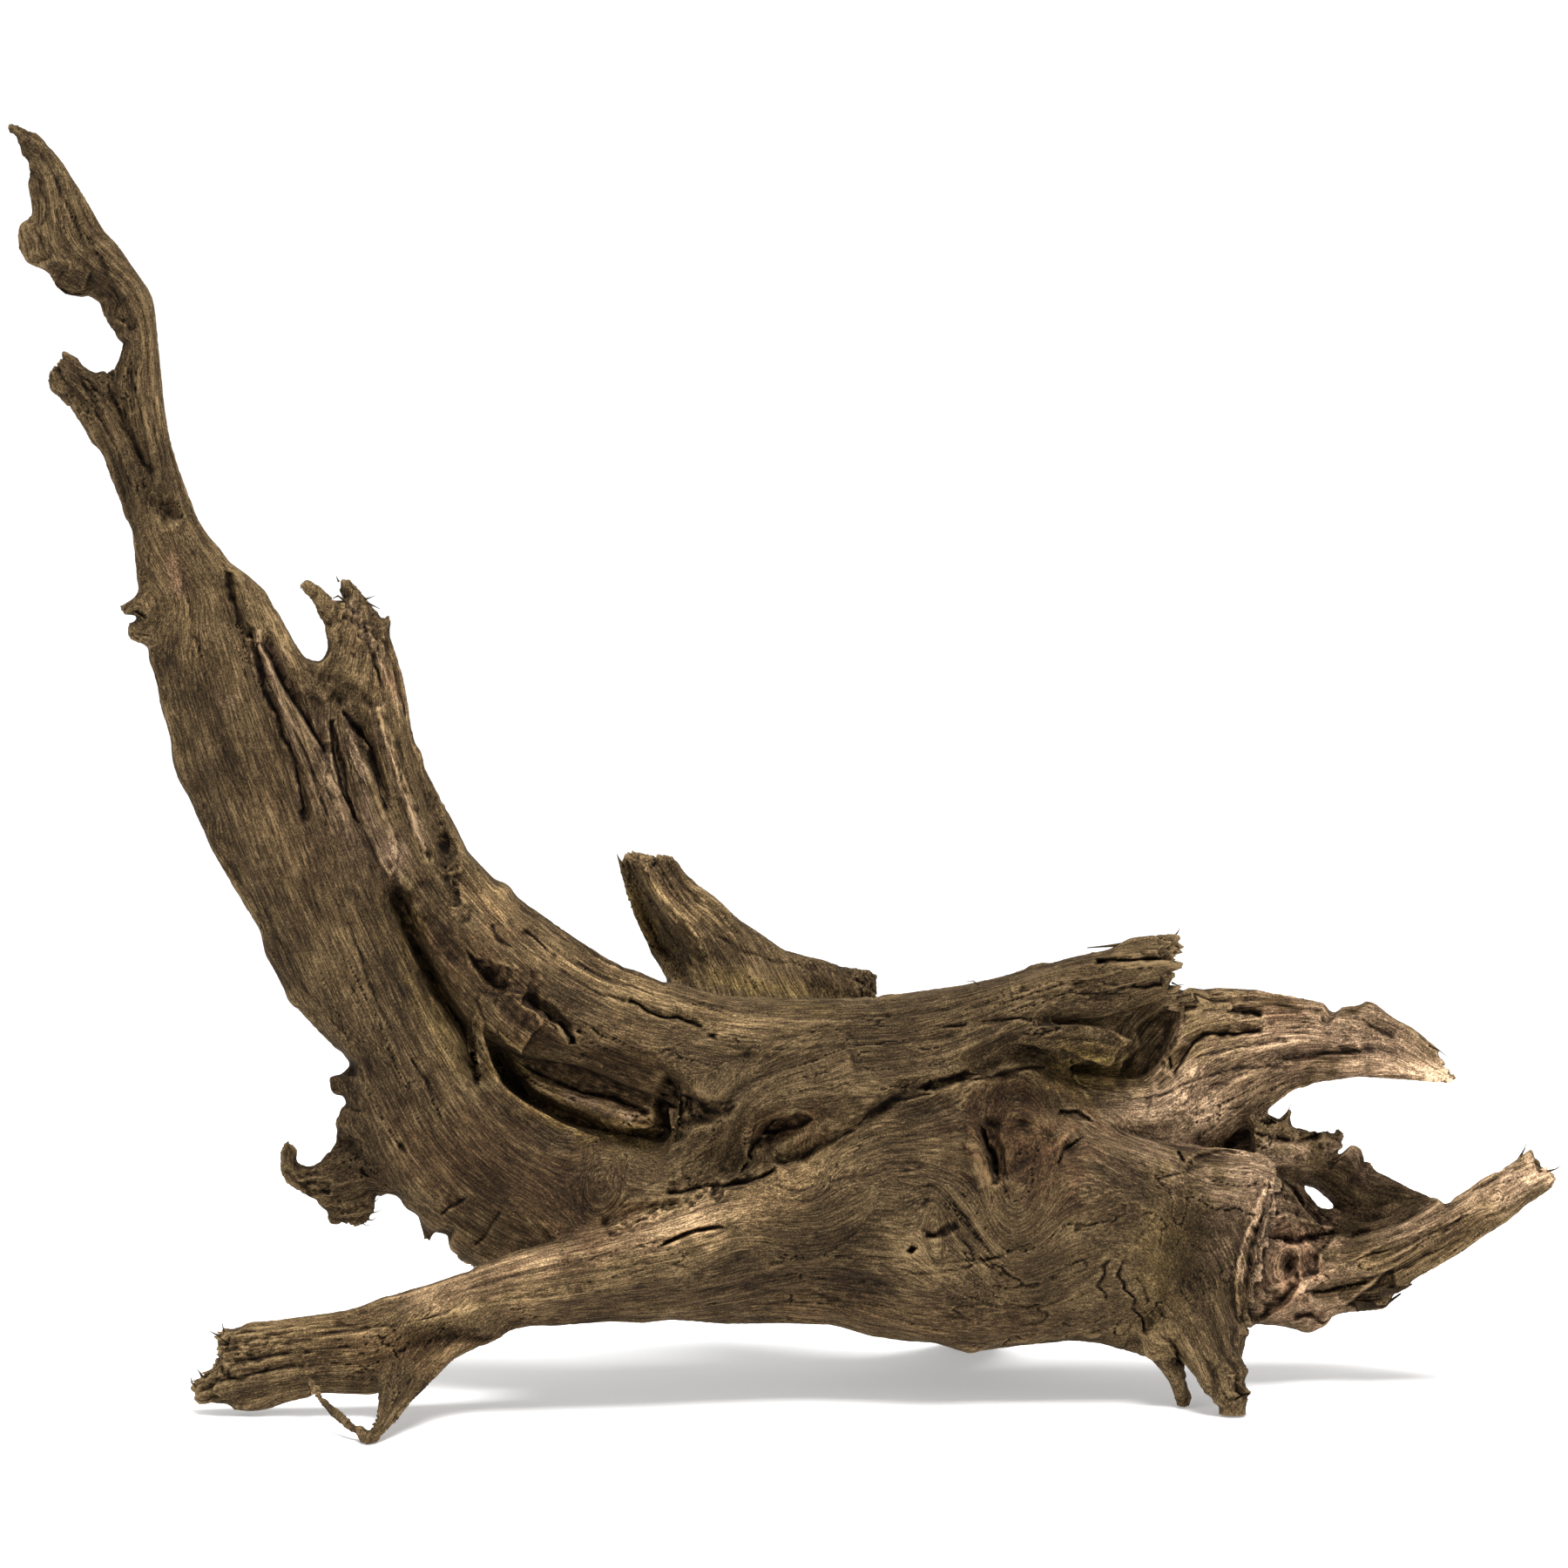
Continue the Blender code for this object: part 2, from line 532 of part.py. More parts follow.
def add_ring(bm, row, along, seed):
    """One ring of the loft, round the line from edge to edge, fluted with the grain. Returns its edges."""
    first, last = Vector(row[0:3]), Vector(row[3:6])
    ring = bmesh.ops.create_circle(bm, segments=RING_POINTS, radius=1)["verts"]
    for vert in ring:
        side, bulge = vert.co.x, vert.co.y
        flute = noise.noise(Vector((side * FLUTES_ACROSS, bulge + seed, along / FLUTE_LENGTH)))
        reach = (row[6] if bulge < 0 else row[7]) * (1 + FLUTE_SHARE * flute)
        vert.co = (first + last) / 2 + (last - first) / 2 * side + Vector((0, 1, 0)) * bulge * reach
    return list({edge for vert in ring for edge in vert.link_edges})


def loft(name, ribs, seed):
    """A limb: rings along a smooth curve through the ribs, bridged and closed at both ends."""
    rows = [rib_row(rib) for rib in ribs]
    bm = bmesh.new()
    rings = []
    along = 0
    for index in range(len(rows) - 1):
        middles = [(Vector(row[0:3]) + Vector(row[3:6])) / 2 for row in rows[index : index + 2]]
        span = (middles[1] - middles[0]).length
        count = max(1, round(span / RIB_SPACING))
        for part in range(count):
            rings.append(add_ring(bm, between(rows, index + part / count), along, seed))
            along += span / count
    rings.append(add_ring(bm, rows[-1], along, seed))
    for ring, following in zip(rings, rings[1:]):
        bmesh.ops.bridge_loops(bm, edges=ring + following)
    bmesh.ops.holes_fill(bm, edges=rings[0] + rings[-1], sides=RING_POINTS)
    bmesh.ops.recalc_face_normals(bm, faces=bm.faces)
    mesh = bpy.data.meshes.new(name)
    bm.to_mesh(mesh)
    bm.free()
    limb = bpy.data.objects.new(name, mesh)
    bpy.context.scene.collection.objects.link(limb)
    return limb


def joined(name, objects):
    """Several meshes as one object, not yet united."""
    bm = bmesh.new()
    for obj in objects:
        bm.from_mesh(obj.data)
        bpy.data.objects.remove(obj)
    mesh = bpy.data.meshes.new(name)
    bm.to_mesh(mesh)
    bm.free()
    result = bpy.data.objects.new(name, mesh)
    bpy.context.scene.collection.objects.link(result)
    return result


def apply_modifiers(obj):
    graph = bpy.context.evaluated_depsgraph_get()
    obj.data = bpy.data.meshes.new_from_object(obj.evaluated_get(graph))
    obj.modifiers.clear()


def points_of(obj):
    """A mesh's points and their normals, as two arrays."""
    count = len(obj.data.vertices)
    points, normals = np.empty(count * 3), np.empty(count * 3)
    obj.data.vertices.foreach_get("co", points)
    obj.data.vertices.foreach_get("normal", normals)
    return points.reshape(-1, 3), normals.reshape(-1, 3)


def set_points(obj, points):
    obj.data.vertices.foreach_set("co", points.ravel())
    obj.data.update()


def view_of(points):
    """Where the front view shows each point: (steps across, steps down), as an array."""
    forward = np.array((AIM - EYE).normalized())
    up = np.array(Vector((1, 0, 0)).cross(Vector(forward)))
    rays = points - np.array(EYE)
    scale = (AIM - EYE).length / (rays @ forward) / VIEW_STEP
    return np.stack([VIEW_MIDDLE[0] + rays[:, 0] * scale, VIEW_MIDDLE[1] - rays @ up * scale], axis=1)


def along_line(places, line):
    """How far each place is from a line of points, and how far along it the nearest point is, in steps."""
    nearest, along, passed = np.full(len(places), np.inf), np.zeros(len(places)), 0
    for start, end in zip(line, line[1:]):
        start, run = np.array(start, float), np.subtract(end, start).astype(float)
        length = np.linalg.norm(run)
        share = np.clip((places - start) @ run / length**2, 0, 1)
        away = np.linalg.norm(places - start - share[:, None] * run, axis=1)
        along = np.where(away < nearest, passed + share * length, along)
        nearest = np.minimum(nearest, away)
        passed += length
    return nearest, along, passed


def stroke_share(places, line, half_width):
    """How much of a stroke's depth each place takes: all on the line, and none past its width or ends."""
    away, along, length = along_line(places, line)
    share = np.clip(1 - away / (half_width * STROKE_REACH), 0, 1)
    fade = half_width * STROKE_FADE
    if length > fade:
        share *= np.clip(STROKE_END_SHARE + np.minimum(along, length - along) / fade, 0, 1)
    return share * share * (3 - 2 * share)


def outermost(places, depths):
    """Which points are at the surface that is seen first, and not hidden behind another limb."""
    cells = (places / HIDDEN_CELL).astype(int)
    keys = cells[:, 0] * 100000 + cells[:, 1]
    _, index = np.unique(keys, return_inverse=True)
    first = np.full(index.max() + 1, np.inf)
    np.minimum.at(first, index, depths)
    return depths < first[index] + HIDDEN_DEPTH


def carve(obj, strokes, side):
    """Pushes the front (side 1) or the back (side -1) in along each stroke."""
    points, normals = points_of(obj)
    places = view_of(points)
    rays = points - np.array(EYE)
    rays /= np.linalg.norm(rays, axis=1)[:, None]
    facing = np.clip(-(normals * rays).sum(axis=1) * side * FACING_GAIN, 0, 1)
    facing *= outermost(places, points[:, 1] * side)
    push = np.zeros(len(points))
    for line, half_width, depth in strokes:
        push += depth * MM * stroke_share(places, line, half_width)
    set_points(obj, points + rays * (push * facing * side)[:, None])


def add_lumps(obj):
    """Low swellings all over, which also break up the long smooth runs."""
    points, normals = points_of(obj)
    heights = [noise.noise(point / LUMP_SIZE) * LUMP_HEIGHT for point in map(Vector, points)]
    set_points(obj, points + normals * np.array(heights)[:, None])


def cut_feet(obj):
    """Cuts the wood off flat at the floor, so that it stands."""
    bm = bmesh.new()
    bm.from_mesh(obj.data)
    everything = bm.verts[:] + bm.edges[:] + bm.faces[:]
    cut = bmesh.ops.bisect_plane(
        bm, geom=everything, plane_co=(0, 0, 0), plane_no=(0, 0, 1), clear_inner=True
    )
    rim = [item for item in cut["geom_cut"] if isinstance(item, bmesh.types.BMEdge)]
    bmesh.ops.holes_fill(bm, edges=rim, sides=0)
    bmesh.ops.triangulate(bm, faces=bm.faces)
    bm.to_mesh(obj.data)
    bm.free()


def fork_cutter(outline, near, far, grown):
    """A prism over an outline in the front view, from one depth (mm) to another."""
    bm = bmesh.new()
    front = bm.faces.new([bm.verts.new(seen_at(*corner, near)) for corner in outline])
    moved = bmesh.ops.extrude_face_region(bm, geom=[front])["geom"]
    reach = (far * MM - EYE.y) / (near * MM - EYE.y)
    for vert in moved:
        if isinstance(vert, bmesh.types.BMVert):
            vert.co = EYE + (vert.co - EYE) * reach
    bmesh.ops.recalc_face_normals(bm, faces=bm.faces)
    bm.normal_update()
    offsets = [(vert, vert.normal * vert.calc_shell_factor() * grown) for vert in bm.verts]
    for vert, offset in offsets:
        vert.co += offset
    mesh = bpy.data.meshes.new("fork")
    bm.to_mesh(mesh)
    bm.free()
    cutter = bpy.data.objects.new("fork", mesh)
    cutter.hide_render = True
    cutter.display_type = "WIRE"
    bpy.context.scene.collection.objects.link(cutter)
    return cutter


def keep_largest(obj):
    """Drops any splinter that a cut has left loose."""
    bm = bmesh.new()
    bm.from_mesh(obj.data)
    left, pieces = set(bm.verts), []
    while left:
        piece, found = set(), [left.pop()]
        while found:
            vert = found.pop()
            piece.add(vert)
            near = {edge.other_vert(vert) for edge in vert.link_edges} & left
            left -= near
            found += near
        pieces.append(piece)
    pieces.sort(key=len)
    bmesh.ops.delete(bm, geom=[vert for piece in pieces[:-1] for vert in piece])
    bm.to_mesh(obj.data)
    bm.free()


def cut(obj, operation, fork, grown):
    cutter = fork_cutter(*fork, grown)
    boolean = obj.modifiers.new("Fork", "BOOLEAN")
    boolean.operation = operation
    boolean.object = cutter
    apply_modifiers(obj)
    bpy.data.objects.remove(cutter)
    keep_largest(obj)


def part_at_forks(wood, collection):
    """Each limb's own object, cut from the wood at its fork. What is left is the trunk."""
    for name, fork in FORKS.items():
        limb = wood.copy()
        limb.data = wood.data.copy()
        limb.name = name
        collection.objects.link(limb)
        cut(limb, "INTERSECT", fork, 0)
        cut(wood, "DIFFERENCE", fork, FORK_GAP)
    bpy.context.scene.collection.objects.unlink(wood)
    collection.objects.link(wood)
    wood.name = "trunk"


def unite(obj):
    """One skin over all the limbs, a little rounded where they meet."""
    remesh = obj.modifiers.new("Unite", "REMESH")
    remesh.mode = "VOXEL"
    remesh.voxel_size = VOXEL
    rounding = obj.modifiers.new("Round", "SMOOTH")
    rounding.factor = 0.5
    rounding.iterations = 4
    apply_modifiers(obj)


def facet(obj):
    """Fewer and larger faces, down to the stated number of triangles."""
    facets = obj.modifiers.new("Facet", "DECIMATE")
    facets.ratio = TRIANGLES / (2 * len(obj.data.polygons))
    apply_modifiers(obj)


def wood_material(name, colour):
    material = bpy.data.materials.new(name)
    material.use_nodes = True
    shader = material.node_tree.nodes["Principled BSDF"]
    shader.inputs["Base Color"].default_value = (*colour, 1)
    shader.inputs["Roughness"].default_value = WOOD_ROUGHNESS
    shader.inputs["Metallic"].default_value = 0
    return material


def main():
    clear_scene()
    collection = bpy.data.collections.new("bogwood")
    bpy.context.scene.collection.children.link(collection)
    limbs = [loft(name, ribs, LIMB_SEED * index) for index, (name, ribs) in enumerate(LIMBS.items())]
    wood = joined("bogwood", limbs)
    unite(wood)
    add_lumps(wood)
    carve(wood, FRONT_STROKES, 1)
    carve(wood, BACK_STROKES, -1)
    facet(wood)
    cut_feet(wood)
    part_at_forks(wood, collection)
    for limb in collection.objects:
        limb.data.transform(Matrix.Translation(ORIGIN))
        limb.data.materials.clear()
        limb.data.materials.append(wood_material(limb.name, COLOURS.get(limb.name, WOOD_COLOUR)))
        limb.data.shade_smooth()


main()
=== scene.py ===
# %% [markdown]
# # Bogwood: a branching root, dried and worn
#
# Bogwood is the root of a tree that has lain in wet ground until only its hardest wood was left. It is all
# one piece, so there is nothing to put together here. The lesson is about surface: how one skin of wood can
# carry grain, cracks, hollows, torn ends and the colours of dirt and wear.
#
# The imported model gives the shape and the place of each limb. We begin with it.

import bmesh
import bpy
import numpy as np
from mathutils import Matrix, Vector


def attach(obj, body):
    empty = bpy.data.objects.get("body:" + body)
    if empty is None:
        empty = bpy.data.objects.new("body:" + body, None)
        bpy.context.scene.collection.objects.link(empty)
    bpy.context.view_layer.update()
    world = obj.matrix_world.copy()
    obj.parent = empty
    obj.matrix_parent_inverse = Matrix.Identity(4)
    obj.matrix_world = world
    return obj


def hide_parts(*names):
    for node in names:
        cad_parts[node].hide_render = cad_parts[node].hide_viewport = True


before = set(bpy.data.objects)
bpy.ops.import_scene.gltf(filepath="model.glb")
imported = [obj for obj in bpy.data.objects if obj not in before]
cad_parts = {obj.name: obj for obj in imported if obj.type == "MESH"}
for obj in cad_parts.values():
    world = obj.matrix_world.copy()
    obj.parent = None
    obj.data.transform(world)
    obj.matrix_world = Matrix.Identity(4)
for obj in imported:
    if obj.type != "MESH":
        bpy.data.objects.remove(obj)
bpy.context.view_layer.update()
print("limbs:", sorted(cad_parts))

# %% [markdown]
# The photograph was taken from in front and a little above, from far away, so the wood shows almost no
# perspective. We keep that eye as a few named values. They place the camera, and they also let us say where
# a crack or a stain is by its place in the picture, in steps across and down from the upper left corner of
# a picture that is 1800 steps wide.

# %% The eye, and how a place in the picture becomes a place in the wood
MM = 0.001
STEP = MM / 3
PICTURE = 1800
EYE = Vector((-0.8, -2406.4, 403)) * MM
AIM = Vector((-0.8, -6.4, 235)) * MM
DEPTH_ZERO = -6.4 * MM
ACROSS = Vector((1, 0, 0))
FORWARD = (AIM - EYE).normalized()
UPWARD = ACROSS.cross(FORWARD)


def seen_at(across, down, depth):
    """The point that the picture shows at this place, this many millimetres behind the middle plane."""
    ray = FORWARD * (AIM - EYE).length
    ray += ACROSS * (across - PICTURE / 2) * STEP + UPWARD * (PICTURE / 2 - down) * STEP
    return EYE + ray * ((depth * MM + DEPTH_ZERO - EYE.y) / ray.y)


def places_of(points):
    """Where the picture shows each point, in steps across and down."""
    rays = points - np.array(EYE)
    scale = (AIM - EYE).length / (rays @ np.array(FORWARD)) / STEP
    across = PICTURE / 2 + rays[:, 0] * scale
    down = PICTURE / 2 - rays @ np.array(UPWARD) * scale
    return np.stack([across, down], axis=1)


print("the eye is", round((AIM - EYE).length, 3), "m from the wood")

# %% [markdown]
# A camera with a long lens stands at that eye. The lens follows from the distance and from how wide the
# picture is at the wood.

# %% The camera
SENSOR = 36
camera_data = bpy.data.cameras.new("camera")
camera_data.sensor_width = SENSOR
camera_data.lens = SENSOR * (AIM - EYE).length / (PICTURE * STEP)
camera = bpy.data.objects.new("camera", camera_data)
camera.matrix_world = Matrix.Translation(EYE) @ FORWARD.to_track_quat("-Z", "Y").to_matrix().to_4x4()
bpy.context.scene.collection.objects.link(camera)
bpy.context.scene.camera = camera
print("lens:", round(camera_data.lens, 1), "mm")

# %% [markdown]
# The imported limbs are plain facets, parted at the forks by a hair's gap. Real wood has no gaps and no
# facets. So we copy the limbs, swell them until they touch, and draw one fine skin over them all. A voxel
# remesh does that: it ignores what is inside, and gives small even squares, which is what fine carving
# needs. A few thin webs of wood between the limbs, and one splinter, are plates that the same skin covers.

# %% One fine skin over all the limbs
SWELL = 0.3 * MM
GRAIN_OF_MESH = 0.85 * MM
DOUBLES = 0.01 * MM


def add_object(name, mesh):
    made = bpy.data.objects.new(name, mesh)
    bpy.context.scene.collection.objects.link(made)
    return made


PLATES = [
    (14, [(330, 742, 2), (346, 756, 2), (360, 762, 2), (370, 761, 2), (379, 746, 2), (390, 780, 3),
        (372, 806, 5), (340, 790, 5)]),
    (5, [(1556, 1184, 1), (1600, 1190, 1), (1650, 1205, 1), (1662, 1224, 1), (1600, 1218, 1),
        (1556, 1204, 1)]),
    (8, [(1385, 1290, 28), (1430, 1294, 28), (1430, 1330, 28), (1390, 1330, 28)]),
    (10, [(1462, 1345, 28), (1491, 1357, 28), (1516, 1388, 28), (1506, 1404, 28), (1480, 1404, 28),
        (1458, 1380, 28)]),
    (10, [(1495, 1402, 28), (1545, 1398, 28), (1580, 1408, 28), (1572, 1430, 28), (1500, 1430, 28)]),
    (2.5, [(1249, 1085, -5), (1250, 1091, -5), (1275, 1089, -5), (1296, 1092, -5), (1306, 1078, -5),
        (1275, 1082, -5)]),
    (4, [(543, 1157, -8), (550, 1165, -8), (554, 1178, -8), (560, 1204, -8), (569, 1228, -8),
        (580, 1248, -9), (596, 1261, -10), (612, 1270, -11), (632, 1280, -12), (662, 1295, -13),
        (690, 1308, -12), (684, 1316, -13), (640, 1302, -13), (600, 1286, -12), (570, 1270, -11),
        (552, 1250, -10), (546, 1225, -9), (542, 1200, -8), (540, 1180, -7)]),
    (4, [(550, 1140, -9), (570, 1142, -12), (592, 1137, -14), (605, 1141, -14), (601, 1153, -14),
        (611, 1157, -14), (621, 1163, -14), (627, 1175, -14), (615, 1187, -14), (609, 1195, -14),
        (602, 1206, -13), (600, 1218, -12), (592, 1207, -12), (580, 1201, -11), (570, 1190, -10),
        (560, 1180, -9), (553, 1164, -8)]),
    (3, [(612, 1158, -14), (628, 1168, -15), (642, 1175, -15), (649, 1186, -15), (653, 1201, -14),
        (636, 1197, -13), (622, 1188, -13)]),
    (6, [(1160, 1178, -22), (1192, 1176, -22), (1236, 1174, -20), (1262, 1177, -18), (1280, 1183, -16),
        (1305, 1196, -13), (1283, 1207, -14), (1280, 1221, -13), (1272, 1226, -13), (1262, 1223, -14),
        (1240, 1217, -15), (1220, 1211, -17), (1200, 1206, -19), (1180, 1202, -20), (1160, 1202, -20)]),
]


def add_plate(bm, thickness, corners):
    """A closed plate: its corners' places in the picture with the depth of its front."""
    front_face = bm.faces.new([bm.verts.new(seen_at(*corner)) for corner in corners])
    pushed = bmesh.ops.extrude_face_region(bm, geom=[front_face])["geom"]
    far_corners = [part for part in pushed if isinstance(part, bmesh.types.BMVert)]
    bmesh.ops.translate(bm, vec=(0, thickness * MM, 0), verts=far_corners)
    faces = {face for corner in front_face.verts for face in corner.link_faces}
    faces.update(part for part in pushed if isinstance(part, bmesh.types.BMFace))
    bmesh.ops.recalc_face_normals(bm, faces=list(faces))
    bmesh.ops.triangulate(bm, faces=[face for face in faces if len(face.verts) > 4])


def swollen_limbs():
    """All limbs and plates in one mesh, each limb a little thicker than its node."""
    bm = bmesh.new()
    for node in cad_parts.values():
        bm.from_mesh(node.data)
    bmesh.ops.remove_doubles(bm, verts=bm.verts, dist=DOUBLES)
    bm.normal_update()
    for vert, normal in [(vert, vert.normal.copy()) for vert in bm.verts]:
        vert.co += normal * SWELL
    for thickness, corners in PLATES:
        add_plate(bm, thickness, corners)
    mesh = bpy.data.meshes.new("wood")
    bm.to_mesh(mesh)
    bm.free()
    return add_object("wood", mesh)


wood = swollen_limbs()
remesh = wood.modifiers.new("skin", "REMESH")
remesh.mode = "VOXEL"
remesh.voxel_size = GRAIN_OF_MESH
evaluated = wood.evaluated_get(bpy.context.evaluated_depsgraph_get())
skin = bpy.data.meshes.new_from_object(evaluated)
bpy.data.objects.remove(wood)
print("skin:", len(skin.vertices), "points,", len(skin.polygons), "faces")

# %% [markdown]
# Moving more than half a million points one by one is slow, so the points are read into an array, changed
# all together and written back. The tools for it are few: read, write, and spread a value from each point
# to the points it is joined to.

# %% Tools for the skin's points
links = np.empty(len(skin.edges) * 2, np.int32)
skin.edges.foreach_get("vertices", links)
first, second = links[0::2].copy(), links[1::2].copy()
count = len(skin.vertices)
degree = np.bincount(first, minlength=count) + np.bincount(second, minlength=count)
print("joined pairs:", len(first))


def read_points():
    points, normals = np.empty(count * 3), np.empty(count * 3)
    skin.vertices.foreach_get("co", points)
    skin.vertices.foreach_get("normal", normals)
    return points.reshape(-1, 3), normals.reshape(-1, 3)


def write_points(points):
    skin.vertices.foreach_set("co", points.ravel())
    skin.update()


def spread(values, rounds):
    """Each round replaces a value by the average of the values it is joined to, and of its own."""
    columns = values.reshape(count, -1).T.copy()
    for _ in range(rounds):
        for row in columns:
            near = np.bincount(first, row[second], count) + np.bincount(second, row[first], count)
            row += (near / degree - row) / 2
    return columns.T.reshape(values.shape)


def eased(values, low, high):
    """0 below low, 1 above high and a soft step between them."""
    share = np.clip((values - low) / (high - low), 0, 1)
    return share * share * (3 - 2 * share)


# %% [markdown]
# The facets go when the skin is relaxed, but a thin spike would go with them. So no point may move further
# than a facet is deep.

# %% Relax the facets away
RELAX_ROUNDS = 36
FACET_DEPTH = 0.45 * MM
TINY = 1e-9
points, normals = read_points()
calm = spread(points, 2)
move = spread(calm, RELAX_ROUNDS) - calm
length = np.linalg.norm(move, axis=1)
calm += move * (np.minimum(length, FACET_DEPTH) / np.maximum(length, TINY))[:, None]
write_points(spread(calm, 2))
points, normals = read_points()
places = places_of(points)
print("moved by up to", round(length.max() / MM, 2), "mm before the limit")

# %% [markdown]
# Wood grain runs along each limb, turns with it and squeezes together where it narrows. To follow it, each
# limb gets a centre line, read from the picture: across, down, half width in steps, and depth in
# millimetres. Every point of the skin then learns how far along its limb it is, how far to the side, and
# how deep.
#
# Where two limbs meet, the grain would jump. So there are two sets of limbs, laid out so that neighbours
# are in different sets. Each point has a place in both, and a share that says which one shows. The share
# changes softly before either set jumps.

# %% The centre lines of the grain
GRAIN_A = {
    "slab": [
        (10, 145, 3, -12), (28, 172, 16, -11), (57, 204, 24, -10), (73, 275, 48, -8), (105, 310, 44, -7),
        (140, 338, 33, -6), (157, 368, 22, -5), (161, 401, 21, -4), (157, 440, 29, -3), (166, 490, 26, -1),
        (178, 543, 27, 1), (188, 591, 41, 2), (206, 639, 52, 3), (228, 678, 72, 5), (250, 737, 80, 7),
        (287, 840, 91, 11), (335, 951, 95, 12), (357, 1006, 92, 11), (382, 1060, 86, 10),
        (431, 1153, 88, 8), (470, 1225, 95, 4), (530, 1310, 115, 2), (610, 1365, 120, -2),
        (700, 1390, 110, -4), (780, 1400, 100, -4),
    ],
    "trunk": [
        (228, 1600, 14, -46), (257, 1576, 46, -48), (295, 1568, 48, -50), (360, 1555, 43, -50),
        (435, 1547, 47, -49), (500, 1514, 36, -47), (562, 1490, 34, -44), (630, 1474, 45, -39),
        (706, 1460, 55, -33), (790, 1444, 72, -25), (870, 1415, 92, -17), (962, 1395, 118, -9),
        (1045, 1390, 145, -5), (1121, 1388, 158, -4), (1205, 1392, 150, -7), (1290, 1400, 140, -10),
    ],
    "rear_root": [
        (738, 975, 32, 62), (758, 1016, 42, 64), (783, 1052, 54, 66), (822, 1093, 72, 67),
        (857, 1160, 82, 60), (902, 1230, 88, 52), (952, 1305, 90, 44), (1010, 1385, 80, 38),
    ],
    "back": [
        (1160, 1400, 90, 14), (1260, 1400, 100, 20), (1340, 1412, 100, 22), (1400, 1418, 100, 22),
        (1450, 1425, 95, 24), (1500, 1455, 70, 26),
    ],
}
GRAIN_B = {
    "stem": [
        (425, 690, 24, 16), (415, 765, 43, 14), (412, 815, 60, 14), (424, 869, 62, 14), (449, 932, 64, 14),
        (482, 996, 70, 14), (520, 1048, 80, 13), (563, 1095, 85, 12), (612, 1140, 92, 11),
        (671, 1175, 95, 10), (735, 1200, 90, 9), (812, 1215, 78, 8), (892, 1218, 72, 6), (972, 1210, 65, 4),
        (1055, 1200, 62, 2), (1135, 1171, 50, 0), (1210, 1138, 38, -2), (1280, 1125, 45, -4),
        (1352, 1108, 36, -5),
    ],
    "swell": [
        (640, 1405, 60, -6), (740, 1372, 55, -8), (820, 1312, 58, -8), (872, 1258, 58, -6),
        (950, 1222, 56, -2),
    ],
    "crown_stub": [
        (185, 630, 26, 3), (161, 555, 27, 1), (138, 502, 26, -1), (109, 455, 23, -3), (66, 412, 12, -6),
    ],
    "left_toe": [
        (520, 1530, 60, -50), (477, 1574, 43, -62), (460, 1601, 30, -80), (442, 1628, 20, -97),
        (421, 1665, 11, -115),
    ],
    "beak": [
        (1155, 1282, 58, 8), (1255, 1284, 51, 10), (1329, 1275, 55, 12), (1385, 1232, 85, 14),
        (1440, 1208, 70, 14), (1490, 1197, 51, 12), (1540, 1199, 39, 9), (1588, 1198, 38, 6),
        (1629, 1215, 25, 3), (1671, 1238, 7, 0),
    ],
    "flare": [
        (1180, 1400, 130, -10), (1260, 1410, 120, -12), (1320, 1435, 105, -16), (1362, 1480, 80, -24),
        (1385, 1530, 52, -34), (1402, 1575, 34, -45), (1416, 1632, 16, -54),
    ],
    "right_root": [
        (1490, 1473, 55, 22), (1538, 1465, 45, 20), (1592, 1453, 43, 17), (1646, 1420, 38, 12),
        (1700, 1384, 32, 6), (1741, 1358, 26, 1), (1785, 1340, 18, -3),
    ],
    "inner_root": [
        (1470, 1331, 29, 42), (1518, 1340, 21, 46), (1560, 1368, 23, 46), (1611, 1385, 19, 42),
        (1664, 1405, 20, 32),
    ],
    "rear_leg": [
        (1045, 1345, 85, 40), (1080, 1415, 80, 64), (1107, 1470, 58, 90), (1112, 1511, 33, 112),
        (1112, 1560, 20, 124),
    ],
    "fin_hook": [
        (450, 1331, 34, 5), (402, 1351, 33, 3), (370, 1360, 25, 2), (340, 1348, 14, 1), (330, 1315, 6, 0),
    ],
}
print("centre lines:", len(GRAIN_A), "and", len(GRAIN_B))

# %% [markdown]
# A few corners would show as kinks in the grain, so a smooth curve is drawn through each centre line and
# cut into short runs. Each point of the skin then takes a weighted mean of all the cuts, in which near ones
# count far more than others. A mean changes smoothly from point to point, where the nearest cut alone would
# jump.

# %% Find each point's place in the grain
RUN = 5 * MM
USUAL_HALF_WIDTH = 18 * MM
SQUEEZE = 0.7
FLATNESS = 0.75
SLANT = 9
DOUBLINGS = 3
BLOCK = 20000


def curve_through(rows):
    """Rows on a smooth curve through the given rows, about a RUN apart."""
    ends = np.vstack([rows[0] * 2 - rows[1], rows, rows[-1] * 2 - rows[-2]])
    made = []
    for before, start, end, after in zip(ends, ends[1:], ends[2:], ends[3:]):
        parts = max(1, round(np.linalg.norm(end[:3] - start[:3]) / RUN))
        for t in np.arange(parts) / parts:
            turn = (end - before) * t + (before * 2 - start * 5 + end * 4 - after) * t**2
            made.append(start + (turn + (start * 3 - before - end * 3 + after) * t**3) / 2)
    return np.array(made + [rows[-1]])


def unit(rows):
    """The rows with their lengths set to one."""
    return rows / np.linalg.norm(rows, axis=1)[:, None]


def mean_of_cuts(spots, cuts):
    """For each spot the mean of the rows of cuts, weighted by their nearness."""
    middles = cuts[:, :3]
    weight = 1 / ((spots**2).sum(axis=1)[:, None] - 2 * spots @ middles.T + (middles**2).sum(axis=1))
    for _ in range(DOUBLINGS):
        weight *= weight
    return weight @ cuts / weight.sum(axis=1)[:, None]


